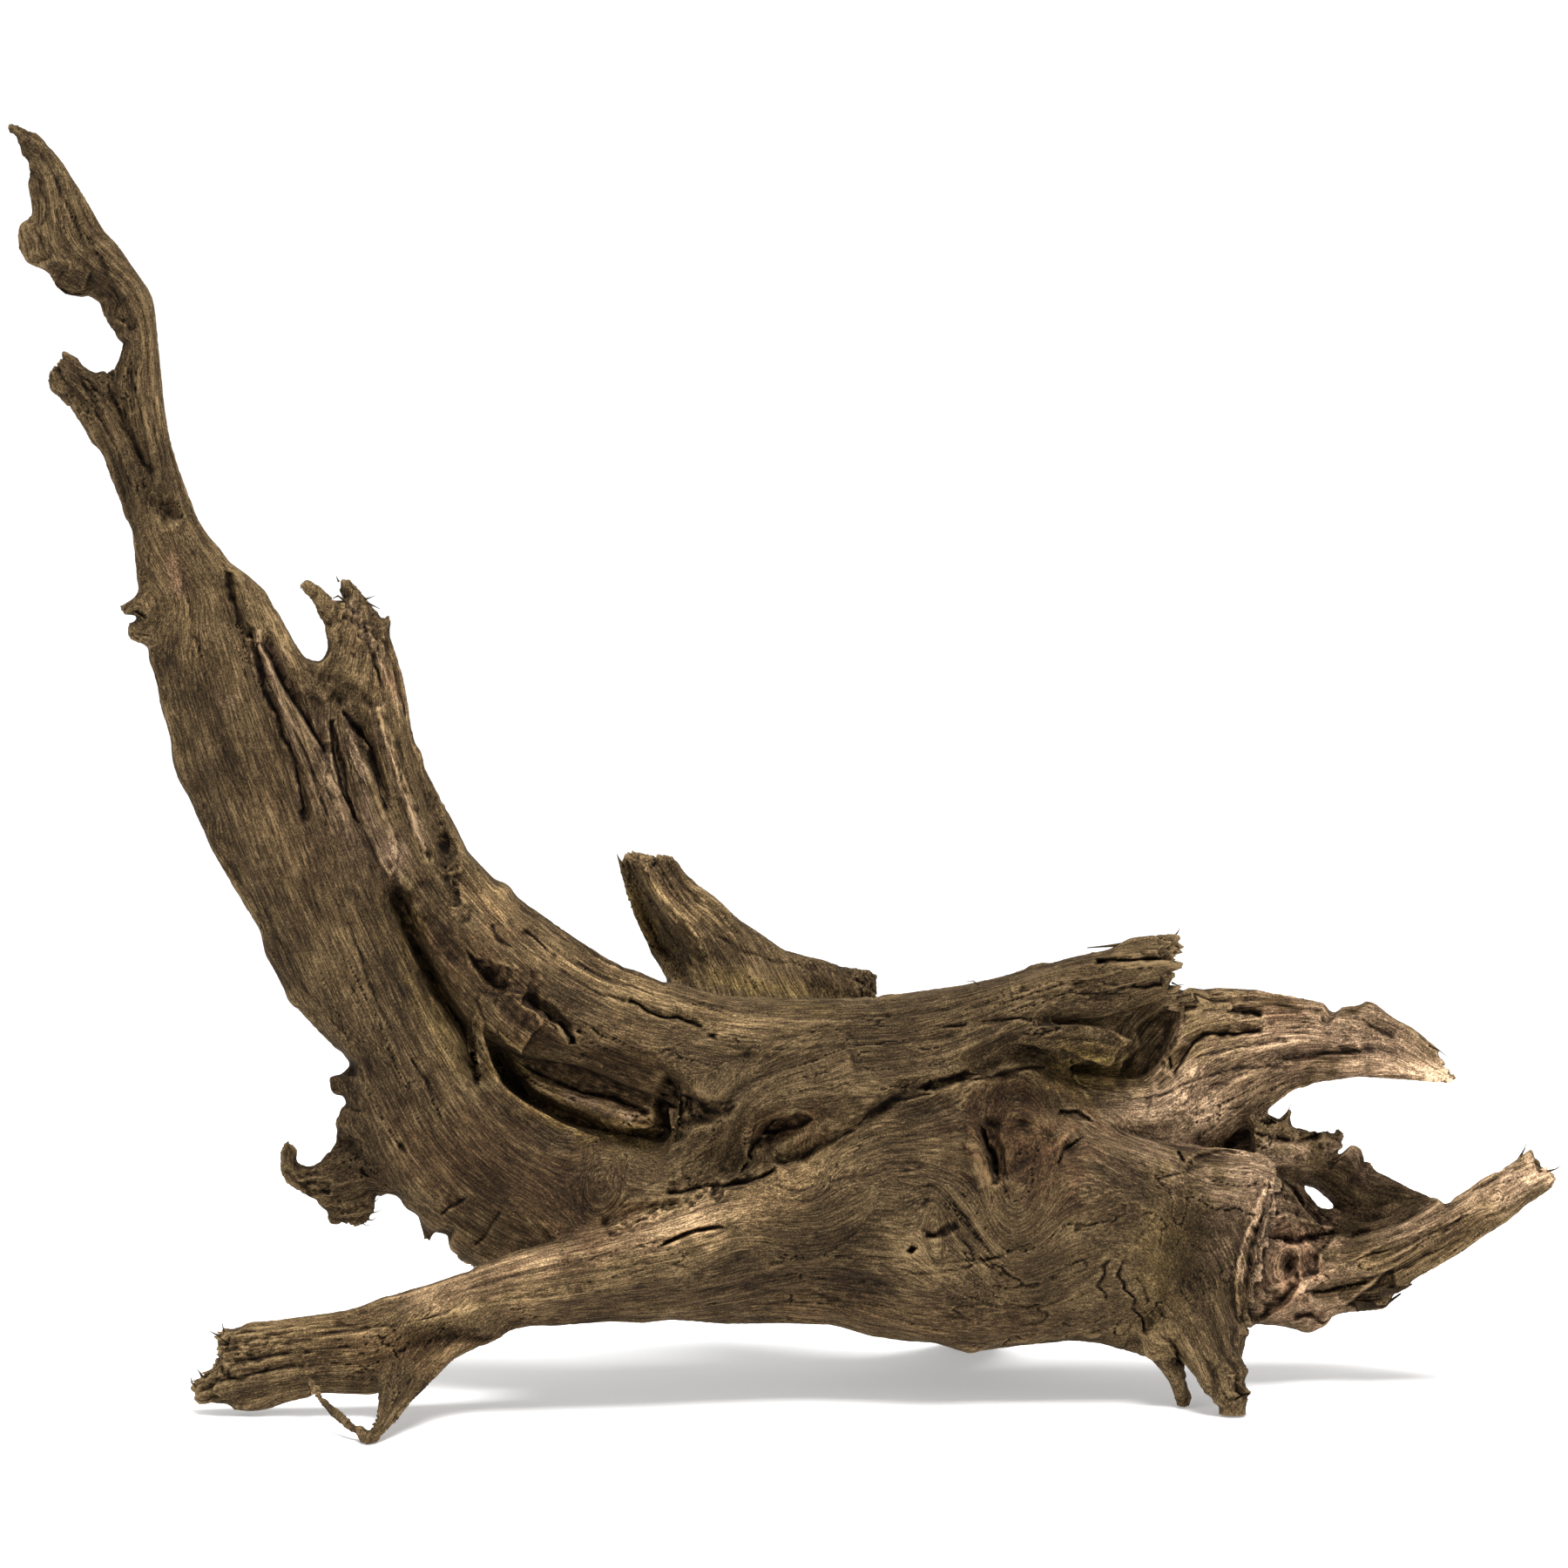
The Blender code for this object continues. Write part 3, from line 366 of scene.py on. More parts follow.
def grain_of_limb(line):
    """How far each point is from the limb's own surface, and its place in the limb's grain."""
    rows = np.array([[*seen_at(across, down, depth), half * STEP] for across, down, half, depth in line])
    rows = curve_through(rows)
    tangents = unit(np.gradient(rows[:, :3], axis=0))
    sides = unit(np.cross(tangents, np.array(FORWARD)))
    lengths = np.linalg.norm(np.diff(rows[:, :3], axis=0), axis=1)
    passed = np.concatenate([[0], np.cumsum(lengths)])
    cuts = np.column_stack([rows, passed, tangents, sides])
    means = np.vstack([mean_of_cuts(points[at:at + BLOCK], cuts) for at in range(0, count, BLOCK)])
    tangent, side = unit(means[:, 5:8]), unit(means[:, 8:11])
    offset = points - means[:, :3]
    along = (offset * tangent).sum(axis=1)
    across = (offset * side).sum(axis=1)
    deep = (offset * np.cross(side, tangent)).sum(axis=1)
    nearest = np.sqrt((offset**2).sum(axis=1)) - means[:, 3] * FLATNESS
    squeeze = (USUAL_HALF_WIDTH / means[:, 3]) ** SQUEEZE
    along += means[:, 4] + SLANT * squeeze * (across + deep)
    return nearest, np.stack([along, across * squeeze, deep * squeeze], axis=1)


SWITCH = 7 * MM
FIT = 7 * MM
LIMB_SHIFT = 0.61
NO_CHOICE = 1e-4


def grain_of_set(limbs, shift):
    """The grain of the limb that fits best, and how sure that choice is."""
    best, next_best = np.full(count, np.inf), np.full(count, np.inf)
    grain = np.zeros((count, 3))
    for index, line in enumerate(limbs.values()):
        nearest, found = grain_of_limb(line)
        found[:, 0] += (index + shift) * LIMB_SHIFT
        better = nearest < best
        next_best = np.where(better, best, np.minimum(next_best, nearest))
        grain[better] = found[better]
        best = np.minimum(best, nearest)
    sure = eased(next_best - best, 0, SWITCH) * np.exp(-np.maximum(best, 0) / FIT)
    return grain, sure


grain_a, sure_a = grain_of_set(GRAIN_A, 0)
grain_b, sure_b = grain_of_set(GRAIN_B, 7)
sharp_share = (sure_b + NO_CHOICE) / (sure_a + sure_b + 2 * NO_CHOICE)
b_share = eased(spread(sharp_share, 6), 0.25, 0.75)
print("in the grain of the first set:", round(100 * (1 - b_share.mean())), "%")

# %% [markdown]
# Knots and pits push the grain aside, and it flows round them as water flows round a post. Inside the knot
# the grain runs in rings. Each knot is given by its place, how far it reaches in millimetres, and the side
# it is on.

# %% Lead the grain round the knots
KNOTS = [
    (690, 1350, 9, 1), (897, 1306, 12, 1), (1172, 1318, 15, 1), (1076, 1416, 5, 1), (150, 705, 9, 1),
    (1712, 1374, 4, 1), (815, 1232, 11, 1), (1477, 1448, 6, 1), (352, 1050, 9, -1), (1240, 1428, 12, -1),
    (560, 1160, 10, -1), (860, 1400, 9, -1), (420, 1560, 6, -1),
]
KNOT_REACH = 4
KNOT_FULL = 0.5 * KNOT_REACH
KNOT_END = 0.8 * KNOT_REACH
KNOT_SPOT = 4
NEAREST = 1e-6


def lead_round(grain, centre, radius):
    """Shifts the grain's measure across, so that its lines pass a knot on both sides."""
    offset = grain - grain[centre]
    offset[:, 0] -= SLANT * (offset[:, 1] + offset[:, 2])
    near = np.linalg.norm(points - points[centre], axis=1) < KNOT_REACH * radius
    along, across = offset[near, 0], offset[near, 1]
    away = np.maximum(np.hypot(along, across), NEAREST)
    full = 1 - eased(away, KNOT_FULL * radius, KNOT_END * radius)
    full *= eased(normals[near] @ normals[centre], -0.2, 0.3)
    passing = np.where(away > radius, (radius / away) ** 2, 1) * across * full
    rings = np.where(away < radius, (away - radius) * full, 0)
    grain[near, 1] += rings - passing
    grain[near, 0] -= SLANT * (passing - rings)


for across, down, radius, side in KNOTS:
    candidates = np.flatnonzero(np.hypot(places[:, 0] - across, places[:, 1] - down) < KNOT_SPOT)
    centre = candidates[np.argmin(points[candidates, 1] * side)]
    for grain in (grain_a, grain_b):
        lead_round(grain, centre, radius * MM)
print("knots:", len(KNOTS))

# %% [markdown]
# The relief is made of noise: numbers that wander smoothly. Stretched along the grain, it looks like fibre.
# This is the plain lattice kind. Every corner of an endless grid has a fixed number between -1 and 1, and a
# place between the corners gets a soft mix of the eight around it.

# %% Noise that follows the grain
TABLE_SIZE = 4096
CORNER_KEYS = (73, 1259, 2671)
KEY_PRIME = 7919
KEY_STEP = 13
table = np.random.default_rng(11).uniform(-1, 1, TABLE_SIZE)
print("noise: a table of", TABLE_SIZE, "fixed numbers")


def lattice(where):
    """The mix of the fixed numbers round each place, in a grid of unit cells."""
    base = np.floor(where).astype(np.int64)
    t = where - base
    base_key = base @ np.array(CORNER_KEYS)
    t = t * t * (3 - 2 * t)
    total = np.zeros(len(where))
    for x in (0, 1):
        for y in (0, 1):
            for z in (0, 1):
                key = base_key + x * CORNER_KEYS[0] + y * CORNER_KEYS[1] + z * CORNER_KEYS[2]
                weight = abs(1 - x - t[:, 0]) * abs(1 - y - t[:, 1]) * abs(1 - z - t[:, 2])
                total += table[(key * (key % KEY_PRIME + KEY_STEP)) % TABLE_SIZE] * weight
    return total


def grain_noise(long, wide, octaves=3, shift=0):
    """Noise in the grain of both sets, mixed by the share. The sizes of its waves are in millimetres."""
    total = np.zeros(count)
    for octave in range(octaves):
        scale = 1 / (np.array([long, wide, wide]) * MM) * 2**octave
        in_a = lattice(grain_a * scale + shift + octave * 17.3)
        in_b = lattice(grain_b * scale + shift + octave * 17.3 + 5.7)
        total += ((1 - b_share) * in_a + b_share * in_b) / 2**octave
    return total


def plain_noise(size, octaves=3, shift=0):
    """Noise that is the same in all directions."""
    scales = [2**octave for octave in range(octaves)]
    return sum(lattice(points / (size * MM) * scale + shift + scale * 3.1) / scale for scale in scales)


# %% [markdown]
# What the picture shows at one place is drawn as a stroke: a line of places, a half width in steps and a
# depth in millimetres. A depth below nothing raises a ridge. A stroke works on what faces the eye, and not
# on a limb that is hidden behind another. Its line wanders a little, and its width and depth change on the
# way, so that it doesn't look ruled.

# %% Strokes
REACH = 1.5
FADE = 3
END_SHARE = 0.25
SLOPE = 6
RAMP_POWER = 1.5
FACING_GAIN = 2.5
HIDDEN_CELL = 8
HIDDEN_DEPTH = 14 * MM
CELL_ROW = 100000
rays = points - np.array(EYE)
rays /= np.linalg.norm(rays, axis=1)[:, None]

WANDER = 3
WANDER_SIZE = 11
NARROWEST, WIDEST = 0.45, 1.6
RAGGED_SHARE = 0.6
wander_across, wander_down = (plain_noise(WANDER_SIZE, 3, shift) for shift in (50.5, 77.1))
wandering = places + WANDER * np.stack([wander_across, wander_down], axis=1)
ragged = places + (wandering - places) * RAGGED_SHARE
patchy = 0.9 + 0.45 * plain_noise(6, 3, 31.9)
breadth = np.clip(1 + 0.9 * plain_noise(4.5, 2, 63.3), NARROWEST, WIDEST)


def outermost(depths):
    """Which points are on the surface that is met first from one side."""
    cells = (places / HIDDEN_CELL).astype(int)
    _, index = np.unique(cells[:, 0] * CELL_ROW + cells[:, 1], return_inverse=True)
    nearest = np.full(index.max() + 1, np.inf)
    np.minimum.at(nearest, index, depths)
    return depths < nearest[index] + HIDDEN_DEPTH


def facing(side):
    """How much each point faces the eye (side 1), or faces away at the back (side -1)."""
    toward = np.clip(-(normals * rays).sum(axis=1) * side * FACING_GAIN, 0, 1)
    return toward * outermost(points[:, 1] * side)


def along_line(spots, corners):
    """For each spot how far it is from the line, how far along and on which side, and the line's length."""
    nearest, along, passed = np.full(len(spots), np.inf), np.zeros(len(spots)), 0
    gentle = np.zeros(len(spots), bool)
    for start, end in zip(corners, corners[1:]):
        run = end - start
        size = np.linalg.norm(run)
        share = np.clip((spots - start) @ run / size**2, 0, 1)
        away = np.linalg.norm(spots - start - share[:, None] * run, axis=1)
        along = np.where(away < nearest, passed + share * size, along)
        beside = run[0] * (spots[:, 1] - start[1]) - run[1] * (spots[:, 0] - start[0])
        gentle = np.where(away < nearest, beside < 0, gentle)
        nearest = np.minimum(nearest, away)
        passed += size
    return nearest, along, gentle, passed


def stroke_share(line, half_width, slope=0):
    """How much of a stroke each point takes: all of it on the line, and none past its width or at its ends.

    With a slope, the stroke runs out gently on one side, that many half widths far, and stays steep on the
    other.
    """
    corners = np.array(line, float)
    widest = half_width * max(REACH, slope) * WIDEST
    low, high = corners.min(axis=0) - widest, corners.max(axis=0) + widest
    near = np.flatnonzero(((wandering > low) & (wandering < high)).all(axis=1))
    nearest, along, gentle, length = along_line(wandering[near], corners)
    nearest /= breadth[near]
    share = eased(-nearest, -half_width * REACH, 0)
    if slope:
        ramp = np.clip(1 - nearest / (half_width * slope), 0, 1) ** RAMP_POWER
        share = np.where(gentle, (share + ramp) / 2, share)
    fade = half_width * FADE
    if length > fade:
        share *= eased(END_SHARE + np.minimum(along, length - along) / fade, 0, 1)
    full = np.zeros(count)
    full[near] = share
    return full


def inside(spots, outline):
    """Which spots lie inside an outline: those with an odd number of its sides to their right."""
    odd = np.zeros(len(spots), bool)
    for start, end in zip(outline, outline[1:] + outline[:1]):
        spans = (spots[:, 1] < start[1]) != (spots[:, 1] < end[1])
        rise = (end[1] - start[1]) or 1
        at = start[0] + (spots[:, 1] - start[1]) / rise * (end[0] - start[0])
        odd ^= spans & (spots[:, 0] < at)
    return odd


def area_share(outline, edge):
    """All of it inside an outline, none outside, and a soft step of this width along its inner side."""
    corners = np.array(outline, float)
    near = np.flatnonzero(((ragged > corners.min(axis=0)) & (ragged < corners.max(axis=0))).all(axis=1))
    near = near[inside(ragged[near], outline)]
    deep = np.full(len(near), np.inf)
    for start, end in zip(corners, np.roll(corners, -1, axis=0)):
        run = end - start
        share = np.clip((ragged[near] - start) @ run / (run @ run), 0, 1)
        deep = np.minimum(deep, np.linalg.norm(ragged[near] - start - share[:, None] * run, axis=1))
    full = np.zeros(count)
    full[near] = eased(deep, 0, edge)
    return full


def areas_depth(areas):
    """How deep all the areas together cut at each point."""
    return sum(area_share(outline, edge) * depth * MM for depth, edge, outline in areas)


def strokes_depth(strokes):
    """How deep all the strokes together cut at each point."""
    return sum(stroke_share(line, half_width, SLOPE) * depth * MM for line, half_width, depth in strokes)


front, back = facing(1), facing(-1)
print("facing the eye:", round(100 * front.mean()), "% of the skin")

# %% [markdown]
# These are the cracks and grooves of the front, one by one, from the crown at the upper left to the roots
# at the right.

# %% The cracks and grooves of the front
CROWN_STROKES = [
    ([(43, 304), (60, 297), (78, 304), (98, 308)], 5, -2.2),
    ([(58, 312), (85, 322), (115, 340), (132, 368)], 9, 2.2),
    ([(103, 268), (115, 300), (130, 330), (140, 355), (155, 380)], 3, 1.4),
    ([(60, 200), (80, 240), (100, 285)], 3, 0.9),
    ([(40, 200), (52, 240), (50, 280)], 3, 0.9),
    ([(120, 440), (140, 480), (165, 530), (178, 545)], 4, 2),
    ([(90, 432), (112, 470), (135, 520), (150, 560)], 3, 1.2),
    ([(150, 420), (158, 470), (172, 520)], 3, 1),
    ([(170, 400), (172, 450), (182, 500)], 3, 0.8),
    ([(172, 572), (190, 588), (206, 594)], 8, 3),
    ([(198, 604), (206, 598)], 5, -1.5),
]
UPRIGHT_STROKES = [
    ([(292, 735), (297, 760), (303, 785), (318, 820), (325, 845), (335, 865), (345, 900), (350, 945)], 3,
        3.2),
    ([(303, 735), (312, 757), (325, 780), (338, 800), (352, 825), (362, 848), (373, 868)], 3, 5),
    ([(300, 678), (325, 735), (345, 780), (365, 825)], 6, -1.4),
    ([(392, 815), (405, 830), (418, 845), (424, 860), (432, 890), (438, 915), (447, 932)], 3, 4),
    ([(428, 805), (440, 830), (450, 850), (462, 885), (470, 910), (478, 945), (492, 985)], 5, -1.6),
    ([(474, 925), (482, 955), (495, 990)], 3, 3.4),
    ([(432, 742), (440, 765), (450, 790), (457, 815), (465, 835)], 3, -1.4),
    ([(438, 733), (448, 762), (458, 788), (469, 826)], 3, 3),
    ([(415, 715), (424, 745), (434, 775), (440, 800)], 3, 2.4),
    ([(452, 850), (462, 880), (474, 915)], 3, 2),
    ([(360, 880), (368, 910), (376, 940)], 2, 2),
    ([(345, 870), (353, 905), (362, 935)], 3, -1),
    ([(506, 990), (512, 997), (517, 993)], 3, 3),
    ([(432, 809), (448, 868), (469, 934), (490, 980)], 2.4, -1.6),
    ([(381, 828), (390, 875), (398, 915), (414, 945)], 2.4, -1.4),
    ([(170, 760), (200, 840), (235, 930), (280, 1020)], 3, 0.9),
    ([(205, 640), (222, 720), (240, 800), (262, 870)], 3, 0.7),
    ([(250, 760), (270, 830), (300, 920), (330, 1000)], 3, 0.6),
    ([(300, 1040), (345, 1130), (400, 1190)], 4, 0.9),
    ([(400, 1055), (408, 1085), (420, 1120), (428, 1140), (450, 1185)], 2, 1.8),
    ([(470, 1215), (490, 1245), (507, 1285)], 2, 1.8),
    ([(152, 702), (172, 708)], 3, 3),
    ([(150, 726), (172, 732)], 3, 2),
]
HOLLOW_STROKES = [
    ([(448, 1010), (462, 1050), (478, 1090), (498, 1135), (518, 1170), (535, 1195), (546, 1245)], 9, 4),
    ([(452, 1015), (467, 1052), (484, 1092), (504, 1136), (526, 1170), (540, 1195), (547, 1245)], 4, 4),
    ([(600, 1222), (625, 1235), (650, 1248), (680, 1256), (700, 1259), (720, 1268), (746, 1277)], 3, 6),
    ([(598, 1232), (620, 1244), (645, 1256), (660, 1262)], 2, 2),
    ([(775, 1255), (800, 1262), (840, 1266)], 3, 2.4),
    ([(620, 1200), (700, 1222), (765, 1240)], 3, 0.8),
    ([(605, 1145), (622, 1157), (632, 1172), (640, 1184)], 3, 3),
    ([(640, 1170), (650, 1184), (656, 1192)], 3, 3),
    ([(661, 1179), (668, 1183)], 2, 2.4),
    ([(680, 1176), (688, 1184), (694, 1191)], 2, 2.4),
    ([(720, 1148), (735, 1154), (745, 1161), (758, 1167), (780, 1167), (795, 1174), (806, 1180)], 2.4, 4),
    ([(810, 1186), (821, 1192)], 4, 5),
    ([(525, 985), (545, 1010), (575, 1050), (600, 1078)], 5, -1.2),
    ([(600, 1068), (615, 1078), (625, 1092), (640, 1100)], 2.4, 2),
    ([(570, 1105), (585, 1112), (596, 1112)], 3, -1.6),
    ([(560, 1062), (572, 1078), (590, 1088)], 2.4, 2),
    ([(640, 1112), (690, 1140), (720, 1148)], 2, 1.4),
    ([(660, 1102), (700, 1122), (760, 1145), (830, 1158)], 2.4, 1.6),
    ([(600, 1160), (596, 1180), (600, 1200)], 3, -0.8),
]
TRUNK_STROKES = [
    ([(868, 1310), (876, 1297), (888, 1283), (903, 1276), (920, 1274)], 4, -1.4),
    ([(874, 1303), (882, 1291), (896, 1282)], 4, 4),
    ([(876, 1303), (866, 1314), (858, 1325), (862, 1331)], 2.6, 4.5),
    ([(858, 1332), (849, 1347)], 2.4, 3.5),
    ([(888, 1328), (900, 1332), (920, 1332), (930, 1325), (940, 1314), (962, 1304), (985, 1296)], 4, 4),
    ([(985, 1292), (1010, 1268), (1045, 1250)], 3, 1.6),
    ([(690, 1410), (715, 1406), (738, 1398), (752, 1388), (768, 1383), (784, 1380)], 5, 5),
    ([(765, 1369), (785, 1369), (810, 1363), (845, 1357), (870, 1349), (892, 1342)], 3.4, 5),
    ([(700, 1398), (725, 1390), (750, 1378), (770, 1374)], 4, -1.2),
    ([(870, 1352), (885, 1344), (892, 1332)], 3, 2.4),
    ([(1020, 1246), (1045, 1249)], 2, 2),
    ([(1020, 1262), (1045, 1260), (1072, 1257)], 2, 1.6),
    ([(1100, 1244), (1125, 1236), (1150, 1231)], 3, 2.4),
    ([(1116, 1296), (1125, 1312), (1134, 1330)], 2, -1.6),
    ([(1103, 1308), (1117, 1322), (1129, 1338)], 2, -1.2),
    ([(1112, 1345), (1122, 1354)], 2, -1.2),
    ([(1120, 1362), (1128, 1367)], 2.4, -1.6),
    ([(1066, 1417), (1073, 1420)], 4, 4),
    ([(1067, 1373), (1060, 1388)], 3, 2),
    ([(1205, 1318), (1215, 1310), (1228, 1298)], 4, -1.8),
    ([(1245, 1303), (1230, 1315), (1222, 1320), (1214, 1336)], 2.4, 3),
    ([(1152, 1358), (1153, 1372)], 4, 2.6),
    ([(1330, 1398), (1315, 1412), (1300, 1430)], 2, 0.9),
    ([(1040, 1462), (1100, 1458), (1150, 1440), (1180, 1426)], 2, 0.9),
    ([(900, 1370), (980, 1350), (1060, 1340)], 3, 0.8),
    ([(880, 1450), (980, 1440), (1080, 1450), (1180, 1440)], 3, 0.8),
    ([(760, 1480), (880, 1478), (1000, 1495), (1110, 1515)], 4, 1),
    ([(415, 1345), (420, 1348)], 4, 2.4),
    ([(458, 1315), (462, 1318)], 4, 2.4),
    ([(505, 1395), (520, 1385), (535, 1375)], 2.4, 2),
    ([(545, 1430), (560, 1410), (575, 1390)], 2, 1.2),
    ([(590, 1320), (640, 1340), (700, 1345)], 3, 0.6),
    ([(1080, 1180), (1140, 1172), (1190, 1170)], 2.4, 2),
    ([(820, 1200), (900, 1205), (1000, 1200), (1100, 1190)], 3, 0.8),
    ([(900, 1170), (980, 1170), (1080, 1160), (1180, 1145)], 3, 0.9),
]
LEFT_ROOT_STROKES = [
    ([(450, 1595), (465, 1585), (480, 1575)], 3, 1.4),
    ([(380, 1520), (410, 1524), (440, 1530)], 3, 1.2),
    ([(480, 1515), (500, 1510), (520, 1505)], 3, 1.2),
    ([(225, 1595), (250, 1588), (280, 1580), (350, 1565)], 4, 1.8),
    ([(300, 1545), (380, 1532), (460, 1520), (560, 1490)], 3, 1.2),
    ([(255, 1545), (290, 1535), (330, 1528)], 5, 2),
    ([(262, 1568), (300, 1556), (340, 1552)], 4, 1.6),
    ([(540, 1480), (620, 1458), (700, 1440), (780, 1420)], 3, 1),
    ([(560, 1500), (640, 1490), (720, 1475), (800, 1460)], 5, -1.2),
    ([(470, 1560), (520, 1540), (600, 1515)], 4, 1.2),
]
STEM_STROKES = [
    ([(1255, 1106), (1290, 1102), (1310, 1100), (1358, 1100)], 2.6, 5),
    ([(1180, 1113), (1220, 1107), (1262, 1101)], 2.4, 1.6),
    ([(1297, 1132), (1315, 1134), (1342, 1132)], 2.4, 3),
    ([(1225, 1125), (1248, 1135)], 7, 1.4),
    ([(1262, 1131), (1286, 1131)], 3, 1.8),
    ([(1158, 1122), (1161, 1134), (1165, 1146)], 2, -1.6),
    ([(1172, 1128), (1177, 1140)], 4, 2),
    ([(1180, 1148), (1230, 1143), (1300, 1142)], 2, 1),
    ([(1266, 1178), (1285, 1188), (1306, 1197)], 2.4, -1),
    ([(1172, 1186), (1210, 1190), (1262, 1196), (1290, 1200)], 2, 0.8),
    ([(1100, 1240), (1140, 1236), (1180, 1226), (1200, 1222)], 4, 3),
    ([(1214, 1205), (1224, 1212), (1234, 1221)], 2.4, 2),
    ([(1228, 1225), (1240, 1240), (1256, 1250)], 2.4, -2),
    ([(1208, 1238), (1221, 1250)], 2.4, -1.6),
    ([(1236, 1246), (1252, 1262)], 2.4, -1.2),
    ([(1334, 1211), (1337, 1220), (1332, 1234)], 3, -2),
    ([(1341, 1212), (1341, 1228)], 2.4, 5),
]
BEAK_STROKES = [
    ([(1344, 1237), (1352, 1223), (1362, 1208), (1370, 1196), (1380, 1188), (1400, 1186), (1450, 1180)],
        3.4, 5),
    ([(1407, 1162), (1425, 1160), (1450, 1164)], 3, 4),
    ([(1480, 1215), (1520, 1208), (1580, 1206)], 5, 3),
    ([(1560, 1170), (1580, 1180), (1600, 1192)], 3, 2),
    ([(1360, 1215), (1420, 1200), (1480, 1192)], 3, 1.4),
    ([(1350, 1250), (1420, 1225), (1500, 1222)], 3, 1.4),
    ([(1370, 1150), (1440, 1150), (1520, 1162)], 3, 1.2),
    ([(1300, 1262), (1370, 1250), (1440, 1240)], 3, 1),
    ([(1262, 1299), (1300, 1306), (1330, 1312), (1348, 1317)], 3, -1.6),
    ([(1250, 1304), (1300, 1314), (1345, 1324)], 5, 1.6),
    ([(1350, 1319), (1361, 1333)], 2.6, 5),
    ([(1530, 1158), (1560, 1160)], 3, 1.8),
    ([(1436, 1298), (1460, 1305), (1482, 1309), (1502, 1306), (1520, 1298)], 4, 4),
    ([(1385, 1298), (1400, 1284)], 2, 1.6),
]
FLARE_STROKES = [
    ([(1273, 1444), (1266, 1452), (1268, 1462), (1261, 1475), (1270, 1483), (1271, 1491)], 2, 2.2),
    ([(1287, 1445), (1283, 1462), (1291, 1470), (1293, 1484), (1302, 1494), (1301, 1503), (1312, 1514),
        (1318, 1530)], 2, 2.6),
    ([(1302, 1462), (1311, 1478), (1318, 1495)], 1.6, 1.2),
    ([(1410, 1342), (1425, 1338), (1442, 1338)], 2, -1.2),
    ([(1465, 1354), (1455, 1365), (1445, 1380), (1437, 1398), (1430, 1425), (1422, 1450), (1418, 1480),
        (1417, 1505), (1420, 1530), (1424, 1552)], 2.6, -1.8),
    ([(1436, 1410), (1447, 1418), (1465, 1422), (1490, 1422), (1515, 1421)], 3, 5),
    ([(1490, 1456), (1494, 1470), (1485, 1485), (1474, 1502)], 2.4, -2),
    ([(1435, 1482), (1450, 1484)], 4, 2),
    ([(1340, 1538), (1347, 1550), (1357, 1566)], 4, 6),
    ([(1385, 1560), (1398, 1600)], 3, 1.6),
    ([(1408, 1560), (1418, 1605)], 3, 1.6),
]
RIGHT_ROOT_STROKES = [
    ([(1520, 1460), (1560, 1440), (1600, 1420), (1640, 1412), (1700, 1385), (1740, 1378)], 4, -1.4),
    ([(1490, 1485), (1530, 1480), (1571, 1474)], 2.4, 3),
    ([(1483, 1513), (1505, 1511), (1522, 1512)], 3.4, 4),
    ([(1550, 1420), (1620, 1400), (1690, 1365), (1740, 1338)], 3, 1.4),
    ([(1540, 1450), (1610, 1432), (1680, 1402)], 3, 1.4),
    ([(1560, 1475), (1620, 1452), (1690, 1415)], 3, 1.4),
    ([(1704, 1368), (1722, 1380)], 6, -1.2),
]
REAR_STROKES = [
    ([(718, 985), (738, 1040), (765, 1100)], 5, 2),
    ([(735, 985), (760, 1030), (790, 1060), (810, 1100)], 4, -1.4),
    ([(747, 972), (749, 996)], 4, 4),
    ([(765, 990), (800, 1035), (850, 1075)], 3, 1.4),
    ([(800, 1060), (860, 1095), (940, 1112)], 3, 1.4),
    ([(978, 1122), (1000, 1136)], 6, 2),
]
FRONT_STROKES = (
    CROWN_STROKES + UPRIGHT_STROKES + HOLLOW_STROKES + TRUNK_STROKES + LEFT_ROOT_STROKES
    + STEM_STROKES + BEAK_STROKES + FLARE_STROKES + RIGHT_ROOT_STROKES + REAR_STROKES
)
print("front strokes:", len(FRONT_STROKES))

# %% [markdown]
# Leaves of wood that stand off the surface, and pockets with a sharp rim, are areas instead of lines: a
# depth in millimetres, the width of its edge in steps, and an outline. Again a depth below nothing raises.

